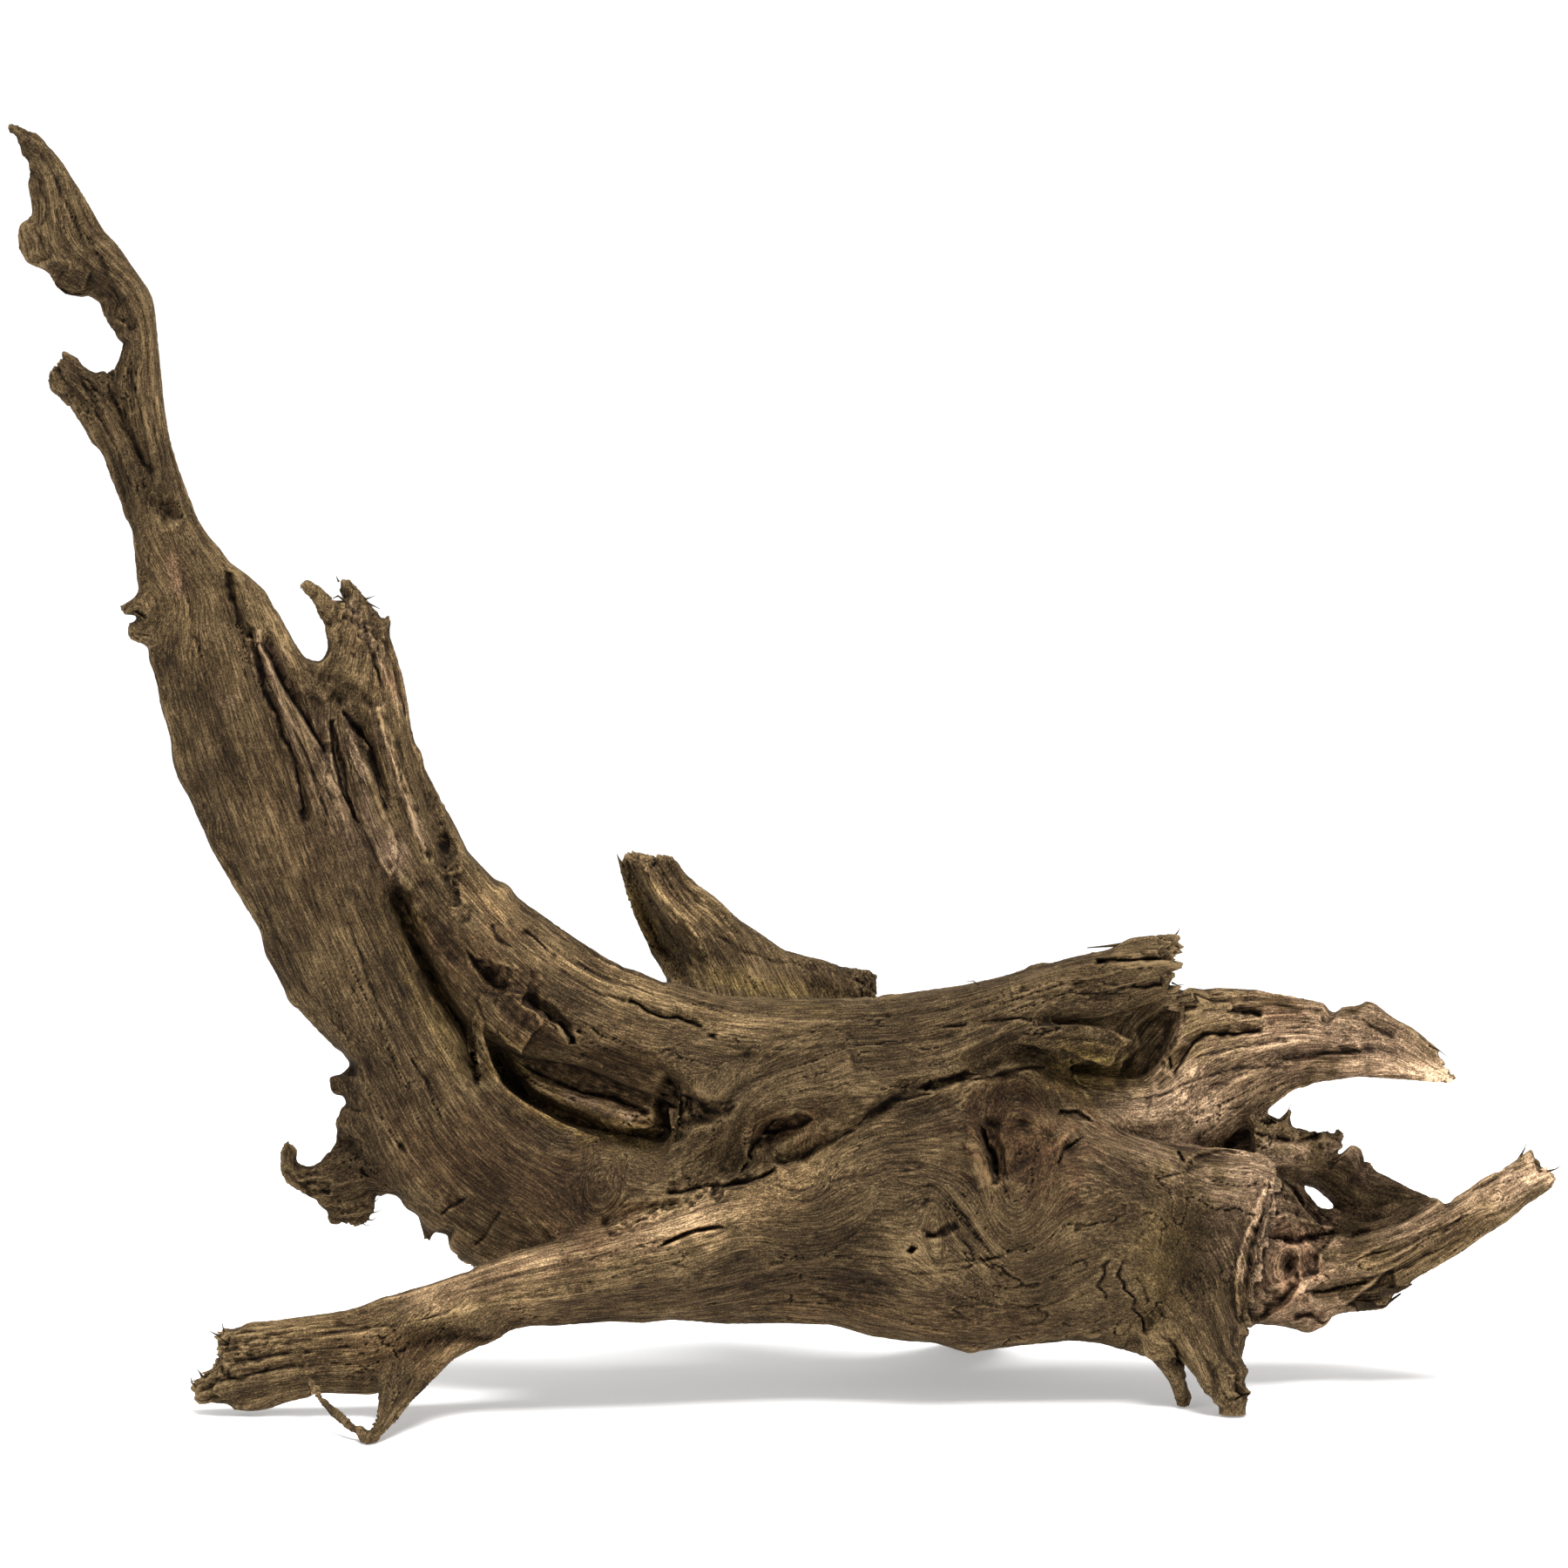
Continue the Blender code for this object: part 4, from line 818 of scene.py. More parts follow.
# %% The pockets and leaves of the front
HOLLOW_AREAS = [
    (2.5, 12, [(560, 1190), (575, 1196), (600, 1220), (640, 1202), (700, 1196), (745, 1202), (765, 1215),
        (774, 1235), (778, 1252), (840, 1262), (835, 1276), (820, 1288), (795, 1298), (760, 1310),
        (720, 1316), (695, 1303), (640, 1281), (600, 1266), (580, 1250), (568, 1225)]),
    (-2, 3, [(596, 1238), (610, 1233), (640, 1251), (670, 1259), (700, 1262), (722, 1273), (748, 1279),
        (752, 1282), (731, 1280), (727, 1286), (746, 1291), (748, 1296), (738, 1299), (690, 1297),
        (650, 1277), (605, 1257)]),
    (8, 14, [(762, 1222), (790, 1246), (820, 1260), (848, 1268), (840, 1284), (815, 1294), (785, 1302),
        (755, 1312), (745, 1290), (750, 1250)]),
    (-2.6, 2, [(550, 1138), (570, 1142), (592, 1137), (605, 1141), (600, 1152), (611, 1157), (621, 1163),
        (627, 1175), (615, 1187), (609, 1195), (602, 1206), (600, 1218), (592, 1207), (580, 1201),
        (570, 1190), (560, 1180), (553, 1164), (548, 1150)]),
    (-1.6, 2, [(612, 1158), (628, 1168), (642, 1175), (649, 1186), (653, 1201), (636, 1197), (622, 1188)]),
    (2, 4, [(606, 1136), (634, 1150), (656, 1174), (662, 1198), (652, 1203), (644, 1180), (628, 1172),
        (626, 1160), (613, 1152), (604, 1150)]),
    (4.5, 5, [(532, 1086), (540, 1092), (549, 1098), (562, 1102), (578, 1108), (581, 1121), (588, 1134),
        (578, 1139), (566, 1137), (556, 1125), (546, 1116), (536, 1100)]),
    (4, 3, [(653, 1187), (661, 1188), (663, 1200), (652, 1202)]),
]
UPRIGHT_AREAS = [
    (3.4, 4, [(257, 654), (268, 657), (272, 690), (281, 711), (294, 720), (293, 737), (283, 734),
        (271, 712), (261, 690)]),
    (-2, 3, [(292, 722), (300, 720), (305, 735), (318, 765), (335, 797), (352, 830), (372, 865), (379, 885),
        (394, 912), (386, 919), (370, 900), (355, 870), (335, 835), (318, 805), (305, 775), (297, 750)]),
    (2.4, 12, [(345, 765), (372, 764), (395, 768), (422, 790), (440, 812), (424, 817), (402, 808),
        (388, 816), (368, 802)]),
    (4.5, 3, [(375, 826), (383, 824), (389, 850), (399, 880), (402, 912), (413, 940), (416, 950),
        (404, 939), (392, 915), (385, 885), (378, 850)]),
    (-1.8, 4, [(400, 838), (412, 855), (425, 885), (438, 920), (452, 950), (459, 975), (456, 1000),
        (448, 1012), (434, 990), (420, 960), (411, 935), (403, 900), (398, 865)]),
    (1.3, 5, [(499, 957), (512, 954), (526, 961), (528, 978), (521, 990), (512, 999), (504, 992),
        (500, 980)]),
    (1.2, 4, [(486, 909), (497, 907), (504, 915), (499, 931), (490, 926)]),
    (1.4, 4, [(519, 1007), (530, 1014), (533, 1035), (544, 1045), (541, 1061), (530, 1063), (521, 1040)]),
    (-1.6, 3, [(498, 994), (505, 996), (512, 1002), (521, 997), (530, 990), (534, 1000), (520, 1006),
        (506, 1005)]),
]
TRUNK_AREAS = [
    (5, 3.5, [(872, 1304), (879, 1292), (890, 1283), (903, 1278), (916, 1276), (930, 1280), (936, 1287),
        (925, 1295), (905, 1298), (890, 1302)]),
    (-1.6, 7, [(861, 1320), (876, 1305), (905, 1299), (930, 1297), (946, 1300), (935, 1311), (905, 1322),
        (880, 1332)]),
    (5, 3, [(750, 1435), (764, 1423), (780, 1415), (804, 1408), (826, 1404), (838, 1409), (820, 1413),
        (800, 1417), (780, 1425), (765, 1430)]),
    (3.6, 14, [(1124, 1288), (1130, 1279), (1150, 1277), (1180, 1279), (1202, 1289), (1218, 1298),
        (1213, 1312), (1201, 1325), (1195, 1336), (1175, 1346), (1162, 1362), (1140, 1363), (1133, 1345),
        (1133, 1320)]),
    (7, 3, [(1125, 1288), (1134, 1298), (1141, 1318), (1146, 1335), (1149, 1355), (1146, 1363),
        (1137, 1362), (1134, 1345), (1133, 1325), (1127, 1305)]),
    (-1, 3, [(1110, 1288), (1120, 1294), (1128, 1308), (1135, 1328), (1131, 1338), (1135, 1350),
        (1138, 1365), (1125, 1366), (1117, 1345), (1107, 1320)]),
    (2.6, 5, [(1066, 1418), (1075, 1410), (1086, 1403), (1098, 1402), (1104, 1410), (1090, 1421),
        (1078, 1424)]),
    (4, 2.5, [(1038, 1438), (1045, 1430), (1054, 1433), (1047, 1441)]),
    (3.4, 3, [(1211, 1279), (1216, 1272), (1237, 1271), (1251, 1279), (1257, 1288), (1240, 1285),
        (1225, 1284)]),
    (4.5, 4, [(1049, 1251), (1070, 1239), (1090, 1234), (1110, 1227), (1127, 1229), (1115, 1239),
        (1095, 1246), (1075, 1253)]),
    (2, 5, [(338, 1358), (362, 1352), (384, 1356), (380, 1374), (352, 1378)]),
]
STEM_AREAS = [
    (2, 5, [(1304, 1173), (1328, 1160), (1358, 1152), (1356, 1175), (1352, 1198), (1336, 1214),
        (1330, 1226), (1318, 1239), (1280, 1239), (1290, 1215), (1306, 1200), (1298, 1182)]),
]
FLARE_AREAS = [
    (3, 7, [(1360, 1342), (1364, 1330), (1375, 1321), (1395, 1317), (1442, 1317), (1425, 1326),
        (1400, 1333), (1365, 1347), (1318, 1360), (1330, 1348)]),
    (3.5, 6, [(1462, 1356), (1475, 1350), (1490, 1360), (1498, 1378), (1500, 1400), (1520, 1404),
        (1540, 1415), (1530, 1426), (1518, 1442), (1515, 1460), (1495, 1476), (1480, 1500), (1462, 1513),
        (1440, 1519), (1427, 1516), (1424, 1480), (1429, 1440), (1438, 1410), (1448, 1380)]),
    (-3, 4, [(1441, 1405), (1456, 1395), (1480, 1389), (1500, 1398), (1520, 1402), (1537, 1408),
        (1520, 1417), (1495, 1420), (1462, 1419), (1446, 1415)]),
    (1, 4, [(1480, 1429), (1487, 1434), (1486, 1445), (1481, 1450), (1483, 1459), (1475, 1456),
        (1470, 1446), (1474, 1436)]),
    (2.4, 5, [(1454, 1480), (1480, 1467), (1491, 1475), (1478, 1491), (1465, 1506), (1449, 1511),
        (1447, 1495)]),
    (3, 3, [(1444, 1286), (1456, 1279), (1470, 1287), (1456, 1292)]),
    (3, 4, [(1543, 1501), (1560, 1484), (1576, 1474), (1591, 1459), (1602, 1455), (1604, 1480),
        (1582, 1491), (1560, 1502)]),
]
FRONT_AREAS = HOLLOW_AREAS + UPRIGHT_AREAS + TRUNK_AREAS + STEM_AREAS + FLARE_AREAS
print("front areas:", len(FRONT_AREAS))

# %% [markdown]
# The photograph doesn't show the back, so it is ours to make. It gets the same kinds of marks: long grooves
# between the limbs, some cracks along the grain, and a few old knots.

# %% The grooves of the back
BACK_STROKES = [
    ([(60, 220), (90, 290), (140, 360)], 6, 1.8),
    ([(150, 440), (172, 520), (195, 600)], 5, 2),
    ([(190, 660), (240, 790), (320, 970), (410, 1150)], 6, 2.4),
    ([(250, 700), (320, 850), (400, 1010), (500, 1170)], 4, 2),
    ([(330, 760), (400, 900), (480, 1060), (580, 1180)], 5, 2.4),
    ([(430, 760), (460, 880), (510, 1000), (600, 1100)], 4, 1.8),
    ([(420, 1250), (500, 1330), (620, 1390), (760, 1420)], 6, 2.2),
    ([(600, 1240), (700, 1300), (820, 1330)], 7, 2.6),
    ([(640, 1110), (760, 1180), (900, 1210), (1060, 1200)], 5, 2),
    ([(1100, 1150), (1200, 1130), (1320, 1115)], 4, 1.8),
    ([(300, 1570), (420, 1555), (540, 1510), (700, 1470)], 4, 1.8),
    ([(800, 1450), (940, 1450), (1040, 1430)], 6, 2.2),
    ([(1180, 1490), (1270, 1450), (1380, 1410)], 6, 2.4),
    ([(1200, 1340), (1300, 1350), (1400, 1380)], 5, 2),
    ([(1380, 1200), (1460, 1185), (1560, 1190)], 4, 1.8),
    ([(1540, 1460), (1630, 1430), (1720, 1380)], 4, 1.8),
    ([(820, 1120), (870, 1200), (930, 1290)], 5, 2.2),
    ([(760, 1010), (800, 1080), (850, 1150)], 4, 1.8),
    ([(352, 1040), (366, 1062)], 10, 3),
    ([(1232, 1420), (1250, 1436)], 12, 3.5),
]
print("back strokes:", len(BACK_STROKES))

# %% [markdown]
# Where a root was torn off, its fibres broke at different lengths. So near such an end each bundle of
# fibres is pulled out or pushed in along the root by its own amount. An end is given by its place, the way
# it points in the picture, and its reach and raggedness in millimetres.

# %% Torn ends
TORN_ENDS = [
    ((235, 1580, -47), (-1, 0.2), 21, 6), ((252, 1545, -47), (-1, -0.3), 9, 4),
    ((66, 412, -6), (-0.6, -0.8), 9, 3.5), ((1350, 1105, -5), (1, -0.1), 19, 4.5),
    ((1784, 1342, -3), (0.85, -0.5), 11, 4), ((742, 980, 62), (-0.2, -1), 16, 3),
    ((1009, 1133, 65), (1, 0.1), 10, 3.5), ((1673, 1240, 0), (1, 0.4), 6, 2.5),
    ((405, 1408, 3), (0.1, 1), 11, 3.5), ((396, 664, 18), (-0.2, -1), 6, 2.5),
    ((445, 706, 15), (0.2, -1), 5, 2), ((493, 1424, 1), (0, 1), 5, 2), ((533, 1453, -1), (-0.2, 1), 7, 2.5),
    ((1548, 1294, 25), (0.6, -0.8), 8, 2.5), ((10, 145, -12), (-0.5, -0.8), 5, 1.5),
    ((140, 697, 4), (-1, 0.1), 5, 1.5), ((141, 721, 5), (-1, 0.2), 5, 1.5),
    ((1655, 1209, 4), (1, 0.8), 5, 1.5),
]
BUNDLE = 1.7 * MM
print("torn ends:", len(TORN_ENDS))


def torn_shift(points):
    """How far each point near a torn end is pulled out or pushed in."""
    shift = np.zeros_like(points)
    for index, (place, toward, reach, raggedness) in enumerate(TORN_ENDS):
        end = np.array(seen_at(*place))
        way = np.array((ACROSS * toward[0] - UPWARD * toward[1]).normalized())
        offset = points - end
        along = offset @ way
        beside = offset - along[:, None] * way
        near = (np.linalg.norm(beside, axis=1) < reach * 1.3 * MM) & (abs(along) < reach * MM)
        bundles = lattice(beside[near] / BUNDLE + index * 7.7)
        bundles = bundles + 1.2 * lattice(beside[near] / (3 * BUNDLE) + index * 3.3)
        pull = eased(along[near], -0.45 * reach * MM, 0.1 * reach * MM) * raggedness * MM * (bundles - 0.3)
        shift[near] += way * pull[:, None]
    return shift


# %% [markdown]
# Now the skin is carved. First the strokes, then the relief that nobody could draw by hand: long flutes,
# fibres, and thin cracks. A crack is where the noise crosses nothing, which is a thin line that runs with
# the grain and opens and closes by itself. Near the broken ends the wood is rough, with small pits.

# %% Carve the skin
CALM_SPOTS = [
    ([(250, 760), (330, 950), (420, 1150)], 70, 0.65), ([(520, 1330), (640, 1390)], 60, 0.5),
    ([(900, 1440), (1100, 1440)], 55, 0.4), ([(560, 1478), (760, 1440)], 30, 0.6),
    ([(1400, 1215), (1500, 1200)], 40, 0.5), ([(1300, 1430), (1380, 1470)], 50, 0.5),
    ([(200, 640), (235, 720)], 30, 0.4), ([(1600, 1440), (1700, 1400)], 30, 0.4),
]
ROUGH_SPOTS = [
    ([(1425, 1340), (1480, 1400), (1500, 1520)], 50), ([(230, 1590), (300, 1555)], 34),
    ([(1480, 1300), (1560, 1320)], 30), ([(1290, 1270), (1400, 1250)], 34),
    ([(540, 1090), (640, 1170)], 30), ([(380, 690), (440, 740)], 30), ([(500, 900), (530, 1060)], 9),
    ([(1340, 1080), (1356, 1120)], 20), ([(340, 1360), (420, 1400)], 30),
    ([(1390, 1590), (1420, 1610)], 34), ([(1740, 1330), (1780, 1350)], 26), ([(710, 980), (770, 985)], 20),
    ([(980, 1120), (1010, 1135)], 22), ([(60, 410), (80, 440)], 22), ([(680, 1410), (860, 1362)], 14),
]
SPLIT_SPOTS = [
    ([(300, 740), (350, 850), (400, 970)], 46), ([(430, 740), (460, 850), (490, 960)], 34),
    ([(235, 1575), (350, 1555)], 40), ([(1180, 1135), (1345, 1105)], 40),
    ([(1540, 1470), (1640, 1430), (1740, 1370)], 36), ([(140, 400), (190, 560)], 30),
    ([(730, 990), (800, 1080)], 40), ([(1380, 1160), (1540, 1180)], 34), ([(600, 1090), (760, 1140)], 30),
    ([(1300, 1290), (1440, 1260)], 30), ([(700, 1405), (860, 1362)], 20), ([(40, 220), (110, 300)], 30),
]
STEP_EDGE = (0.36, 0.64)


def peeled(noise, steps):
    """Broken layers: the noise climbs in steps, with a steep edge between each two."""
    raised = noise * steps
    whole = np.floor(raised)
    return (whole + eased(raised - whole, *STEP_EDGE)) / steps


calm_shares = [stroke_share(line, half_width) * strength for line, half_width, strength in CALM_SPOTS]
calmness = 1 - np.max(calm_shares, axis=0)
rough = np.max([stroke_share(line, half_width) for line, half_width in ROUGH_SPOTS], axis=0)
split = np.max([stroke_share(line, half_width) for line, half_width in SPLIT_SPOTS], axis=0)
flute = grain_noise(120, 10, 2, 3.3)
fibre = grain_noise(40, 2.2, 3, 9.1)
weave = grain_noise(70, 4.6, 2, 21.7)
layers = peeled(grain_noise(60, 14, 3, 61.3) + 0.2 * plain_noise(7, 2, 14.4), 3)
crests = 1 - np.minimum(abs(grain_noise(70, 4.2, 2, 33.1)) * 4, 1)
crack_line = grain_noise(80, 7, 3, 40.2) + 0.12 * plain_noise(6, 2, 5.5)
crack_field = plain_noise(26, 3, 8.8)
cracks = eased(0.05 - abs(crack_line), 0, 0.05) * eased(crack_field, 0, 0.4)
pits = eased(plain_noise(5, 2, 2.2), 0.25, 0.8) * rough
crumbs = plain_noise(3.2, 3, 6.1) * rough
grit = plain_noise(2.4, 2, 88.2)

FLUTE_HEIGHT = 0.65 * MM
WEAVE_HEIGHT = 0.28 * MM
FIBRE_HEIGHT = 0.24 * MM
LAYER_HEIGHT = 0.8 * MM
CRACK_DEPTH = 1.2 * MM
PIT_DEPTH = 1.6 * MM
CRUMB_HEIGHT = 0.7 * MM
GRIT_HEIGHT = 0.1 * MM
CREST_HEIGHT = 0.9 * MM
height = FLUTE_HEIGHT * flute + WEAVE_HEIGHT * weave + FIBRE_HEIGHT * fibre + LAYER_HEIGHT * layers
height = height * calmness + CRUMB_HEIGHT * crumbs + GRIT_HEIGHT * grit
height -= CRACK_DEPTH * cracks * calmness + PIT_DEPTH * pits
height += CREST_HEIGHT * (crests - 0.3) * (0.2 * calmness + 0.8 * split)
carved = strokes_depth(FRONT_STROKES) + areas_depth(FRONT_AREAS)
carved = (carved * front - strokes_depth(BACK_STROKES) * back) * patchy
standing = eased(points[:, 2], 0.5 * MM, 4 * MM)
points += normals * (height * standing - SWELL)[:, None] + rays * (carved * standing)[:, None]
points += torn_shift(points) * standing[:, None]
points[:, 2] = np.maximum(points[:, 2], 0)
write_points(points)
points, normals = read_points()
print("relief:", round(height.min() / MM, 1), "to", round(height.max() / MM, 1), "mm")

# %% [markdown]
# A ragged edge against a plain backdrop shows more than any groove. So the outline in the picture is drawn
# once more, corner by corner, with its notches and torn tips, and the wood's edge is pulled to it. For each
# place of the outline the skin finds how far its own edge is away, and the points within a few steps move
# by that much.

# %% The outline of the wood in the picture
OUTLINES = [
    [(13, 141), (8, 150), (20, 157), (24, 179), (32, 182), (35, 195), (33, 210), (38, 245), (28, 252),
        (20, 259), (19, 267), (23, 285), (28, 300), (37, 305), (53, 310), (60, 322), (68, 333), (80, 339),
        (90, 343), (102, 340), (112, 344), (119, 362), (132, 382), (131, 388), (141, 394), (141, 400),
        (138, 412), (132, 422), (124, 427), (113, 425), (110, 430), (97, 422), (88, 411), (73, 402),
        (66, 418), (58, 426), (55, 440), (57, 447), (70, 457), (85, 473), (98, 492), (103, 505), (118, 520),
        (127, 545), (134, 562), (141, 580), (143, 590), (153, 610), (156, 640), (159, 682), (150, 690),
        (136, 697), (137, 703), (150, 712), (157, 717), (143, 718), (141, 722), (147, 732), (158, 737),
        (168, 740), (171, 755), (181, 783), (185, 812), (192, 830), (196, 845), (199, 875), (207, 898),
        (218, 915), (223, 928), (233, 950), (244, 975), (263, 1008), (282, 1040), (299, 1067), (305, 1095),
        (322, 1125), (333, 1153), (345, 1160), (363, 1180), (380, 1197), (395, 1208), (403, 1228),
        (390, 1233), (379, 1236), (380, 1258), (395, 1258), (397, 1265), (388, 1275), (384, 1300),
        (385, 1312), (378, 1325), (368, 1336), (355, 1340), (343, 1337), (341, 1322), (330, 1308),
        (323, 1320), (323, 1345), (330, 1360), (360, 1375), (375, 1390), (378, 1403), (385, 1406),
        (395, 1403), (415, 1410), (423, 1398), (437, 1390), (424, 1376), (445, 1371), (455, 1371),
        (465, 1385), (480, 1395), (490, 1425), (497, 1418), (510, 1414), (530, 1423), (526, 1435),
        (523, 1447), (540, 1450), (537, 1460), (500, 1473), (465, 1483), (440, 1490), (410, 1502),
        (380, 1508), (350, 1512), (320, 1516), (285, 1519), (270, 1526), (256, 1525), (246, 1531),
        (250, 1540), (248, 1555), (246, 1568), (238, 1573), (222, 1587), (219, 1587), (221, 1600),
        (228, 1615), (240, 1611), (262, 1609), (268, 1621), (285, 1622), (305, 1618), (325, 1610),
        (345, 1605), (362, 1602), (380, 1624), (400, 1641), (412, 1648), (416, 1657), (430, 1659),
        (440, 1645), (455, 1630), (470, 1610), (485, 1595), (500, 1580), (520, 1560), (540, 1550),
        (575, 1535), (590, 1525), (610, 1521), (640, 1521), (700, 1516), (740, 1518), (770, 1514),
        (832, 1519), (900, 1518), (955, 1520), (1000, 1533), (1040, 1539), (1075, 1541), (1113, 1554),
        (1130, 1549), (1180, 1543), (1230, 1538), (1260, 1541), (1295, 1550), (1310, 1555), (1325, 1565),
        (1335, 1575), (1345, 1590), (1350, 1610), (1355, 1618), (1368, 1617), (1371, 1607), (1366, 1600),
        (1365, 1586), (1375, 1590), (1385, 1600), (1392, 1612), (1400, 1615), (1405, 1625), (1415, 1625),
        (1425, 1620), (1432, 1613), (1430, 1605), (1443, 1598), (1427, 1590), (1425, 1583), (1438, 1577),
        (1440, 1570), (1425, 1560), (1427, 1548), (1435, 1530), (1445, 1520), (1475, 1522), (1500, 1530),
        (1525, 1522), (1530, 1510), (1545, 1506), (1590, 1503), (1603, 1489), (1592, 1486), (1618, 1478),
        (1620, 1470), (1650, 1453), (1680, 1435), (1700, 1420), (1730, 1402), (1755, 1380), (1770, 1372),
        (1783, 1360), (1790, 1350), (1785, 1344), (1765, 1333), (1760, 1317), (1745, 1325), (1735, 1337),
        (1700, 1355), (1680, 1370), (1660, 1381)],
    [(1660, 1381), (1620, 1366), (1580, 1345), (1570, 1325), (1552, 1313), (1535, 1305), (1545, 1290),
        (1530, 1297), (1510, 1300), (1495, 1297), (1480, 1290), (1483, 1275), (1480, 1272), (1472, 1284),
        (1463, 1283), (1455, 1277), (1462, 1268), (1480, 1254), (1510, 1242), (1560, 1235), (1620, 1239),
        (1665, 1243), (1673, 1238), (1665, 1228), (1655, 1216), (1650, 1211), (1655, 1207), (1645, 1200),
        (1620, 1180), (1600, 1170), (1578, 1152), (1570, 1148), (1560, 1155), (1540, 1157), (1523, 1168),
        (1527, 1154), (1500, 1148), (1480, 1144), (1440, 1137), (1398, 1135), (1380, 1137), (1345, 1136),
        (1343, 1132), (1353, 1118), (1360, 1107), (1357, 1085), (1353, 1072), (1320, 1075), (1295, 1078),
        (1270, 1092), (1255, 1094), (1225, 1101), (1205, 1107), (1200, 1105), (1180, 1110), (1175, 1114),
        (1150, 1122), (1105, 1132), (1075, 1136), (1040, 1141), (1005, 1143), (1003, 1135), (1010, 1128),
        (1005, 1120), (1013, 1116), (970, 1111), (945, 1103), (905, 1093), (890, 1085), (850, 1057),
        (820, 1030), (800, 1015), (783, 1000), (775, 986), (763, 980), (750, 983), (742, 979), (722, 978),
        (712, 976), (708, 985), (716, 1010), (722, 1035), (735, 1065), (748, 1090), (760, 1112),
        (761, 1125), (740, 1121), (700, 1103), (660, 1078), (620, 1050), (595, 1032), (583, 1015),
        (565, 1008), (538, 980), (520, 945), (500, 908), (488, 885), (482, 860), (475, 852), (470, 830),
        (468, 812), (462, 780), (452, 745), (446, 728), (448, 715), (445, 705), (438, 708), (428, 698),
        (412, 678), (398, 664), (388, 665), (395, 682), (381, 685), (376, 683), (362, 670), (348, 665),
        (342, 668), (344, 671), (360, 690), (373, 720), (377, 738), (376, 750), (368, 759), (360, 759),
        (350, 755), (340, 742), (330, 725), (318, 705), (305, 680), (285, 662), (262, 645), (252, 630),
        (238, 615), (228, 600), (220, 580), (212, 560), (203, 535), (193, 500), (188, 470), (185, 440),
        (181, 400), (178, 365), (175, 345), (168, 330), (157, 315), (133, 280), (118, 265), (97, 228),
        (82, 205), (70, 186), (64, 179), (50, 162), (40, 152), (30, 150), (13, 141)],
]
# These are steps of the picture, apart from the gain, the weight and the batch.
STRIDE = 4
SEEN_BESIDE = 4
SEEN_AWAY = 17
FARTHEST_EDGE = SEEN_AWAY - 5
LEAST_REACH = 9
REACH_GAIN = 2.5
TRIM = 1.2
LEAST_WEIGHT = 0.5
BATCH = 25


def outline_shift(spots, outline):
    """How far, across and down, each point has to move for the wood's edge to meet the outline."""
    corners = np.array(outline, float)
    sizes = np.linalg.norm(np.diff(corners, axis=0), axis=1)
    passed = np.concatenate([[0], np.cumsum(sizes)])
    steps = np.arange(0, passed[-1], STRIDE)
    line = np.stack([np.interp(steps, passed, corners[:, axis]) for axis in (0, 1)], axis=1)
    ways = unit(np.gradient(line, axis=0))
    shift, weight = np.zeros_like(spots), np.full(len(spots), TINY)
    room = SEEN_AWAY * 2
    for at in range(0, len(line), BATCH):
        batch = line[at:at + BATCH]
        inside_box = ((spots > batch.min(axis=0) - room) & (spots < batch.max(axis=0) + room)).all(axis=1)
        boxed = np.flatnonzero(inside_box)
        for place, way in zip(batch, ways[at:at + BATCH]):
            pull_place(spots, boxed, place, way, shift, weight)
    return shift / np.maximum(weight, LEAST_WEIGHT)[:, None]


def pull_place(spots, boxed, place, way, shift, weight):
    """Adds one place's pull to the points in the box."""
    out = np.array([-way[1], way[0]])
    near = boxed[(abs(spots[boxed] - place) < SEEN_AWAY * 2).all(axis=1)]
    beside = (spots[near] - place) @ way
    away = (spots[near] - place) @ out - TRIM
    seen = (abs(beside) < SEEN_BESIDE) & (abs(away) < SEEN_AWAY)
    edge = away[seen].max() if seen.any() else SEEN_AWAY
    if edge < FARTHEST_EDGE:
        reach = max(LEAST_REACH, REACH_GAIN * abs(edge))
        closeness = np.clip(1 - abs(beside) / (2 * SEEN_BESIDE), 0, 1)
        share = eased(away, edge - reach, edge) * closeness
        shift[near] -= out * (edge * share)[:, None]
        weight[near] += closeness * (away > edge - reach)


for outline in OUTLINES:
    shift = outline_shift(places_of(points), outline) * STEP
    points += (shift[:, :1] * np.array(ACROSS) - shift[:, 1:] * np.array(UPWARD)) * standing[:, None]
    print("pulled by up to", round(np.linalg.norm(shift, axis=1).max() / MM, 1), "mm")
points[:, 2] = np.maximum(points[:, 2], 0)
write_points(points)
points, normals = read_points()

# %% [markdown]
# The low places get painted shade, darker where shade would fall, and the high ones come out paler. The skin
# can tell which is which: a point that lies below the average of its neighbours is in a hollow. Measured over
# a few millimetres this finds the cracks, and over a few centimetres the grooves between the flutes.

# %% Measure hollows and edges
fine_hollow = ((spread(points, 5) - points) * normals).sum(axis=1)
broad_hollow = ((spread(points, 70) - points) * normals).sum(axis=1)
print("fine:", np.percentile(fine_hollow / MM, [2, 50, 98]).round(2), "mm")
print("broad:", np.percentile(broad_hollow / MM, [2, 50, 98]).round(2), "mm")
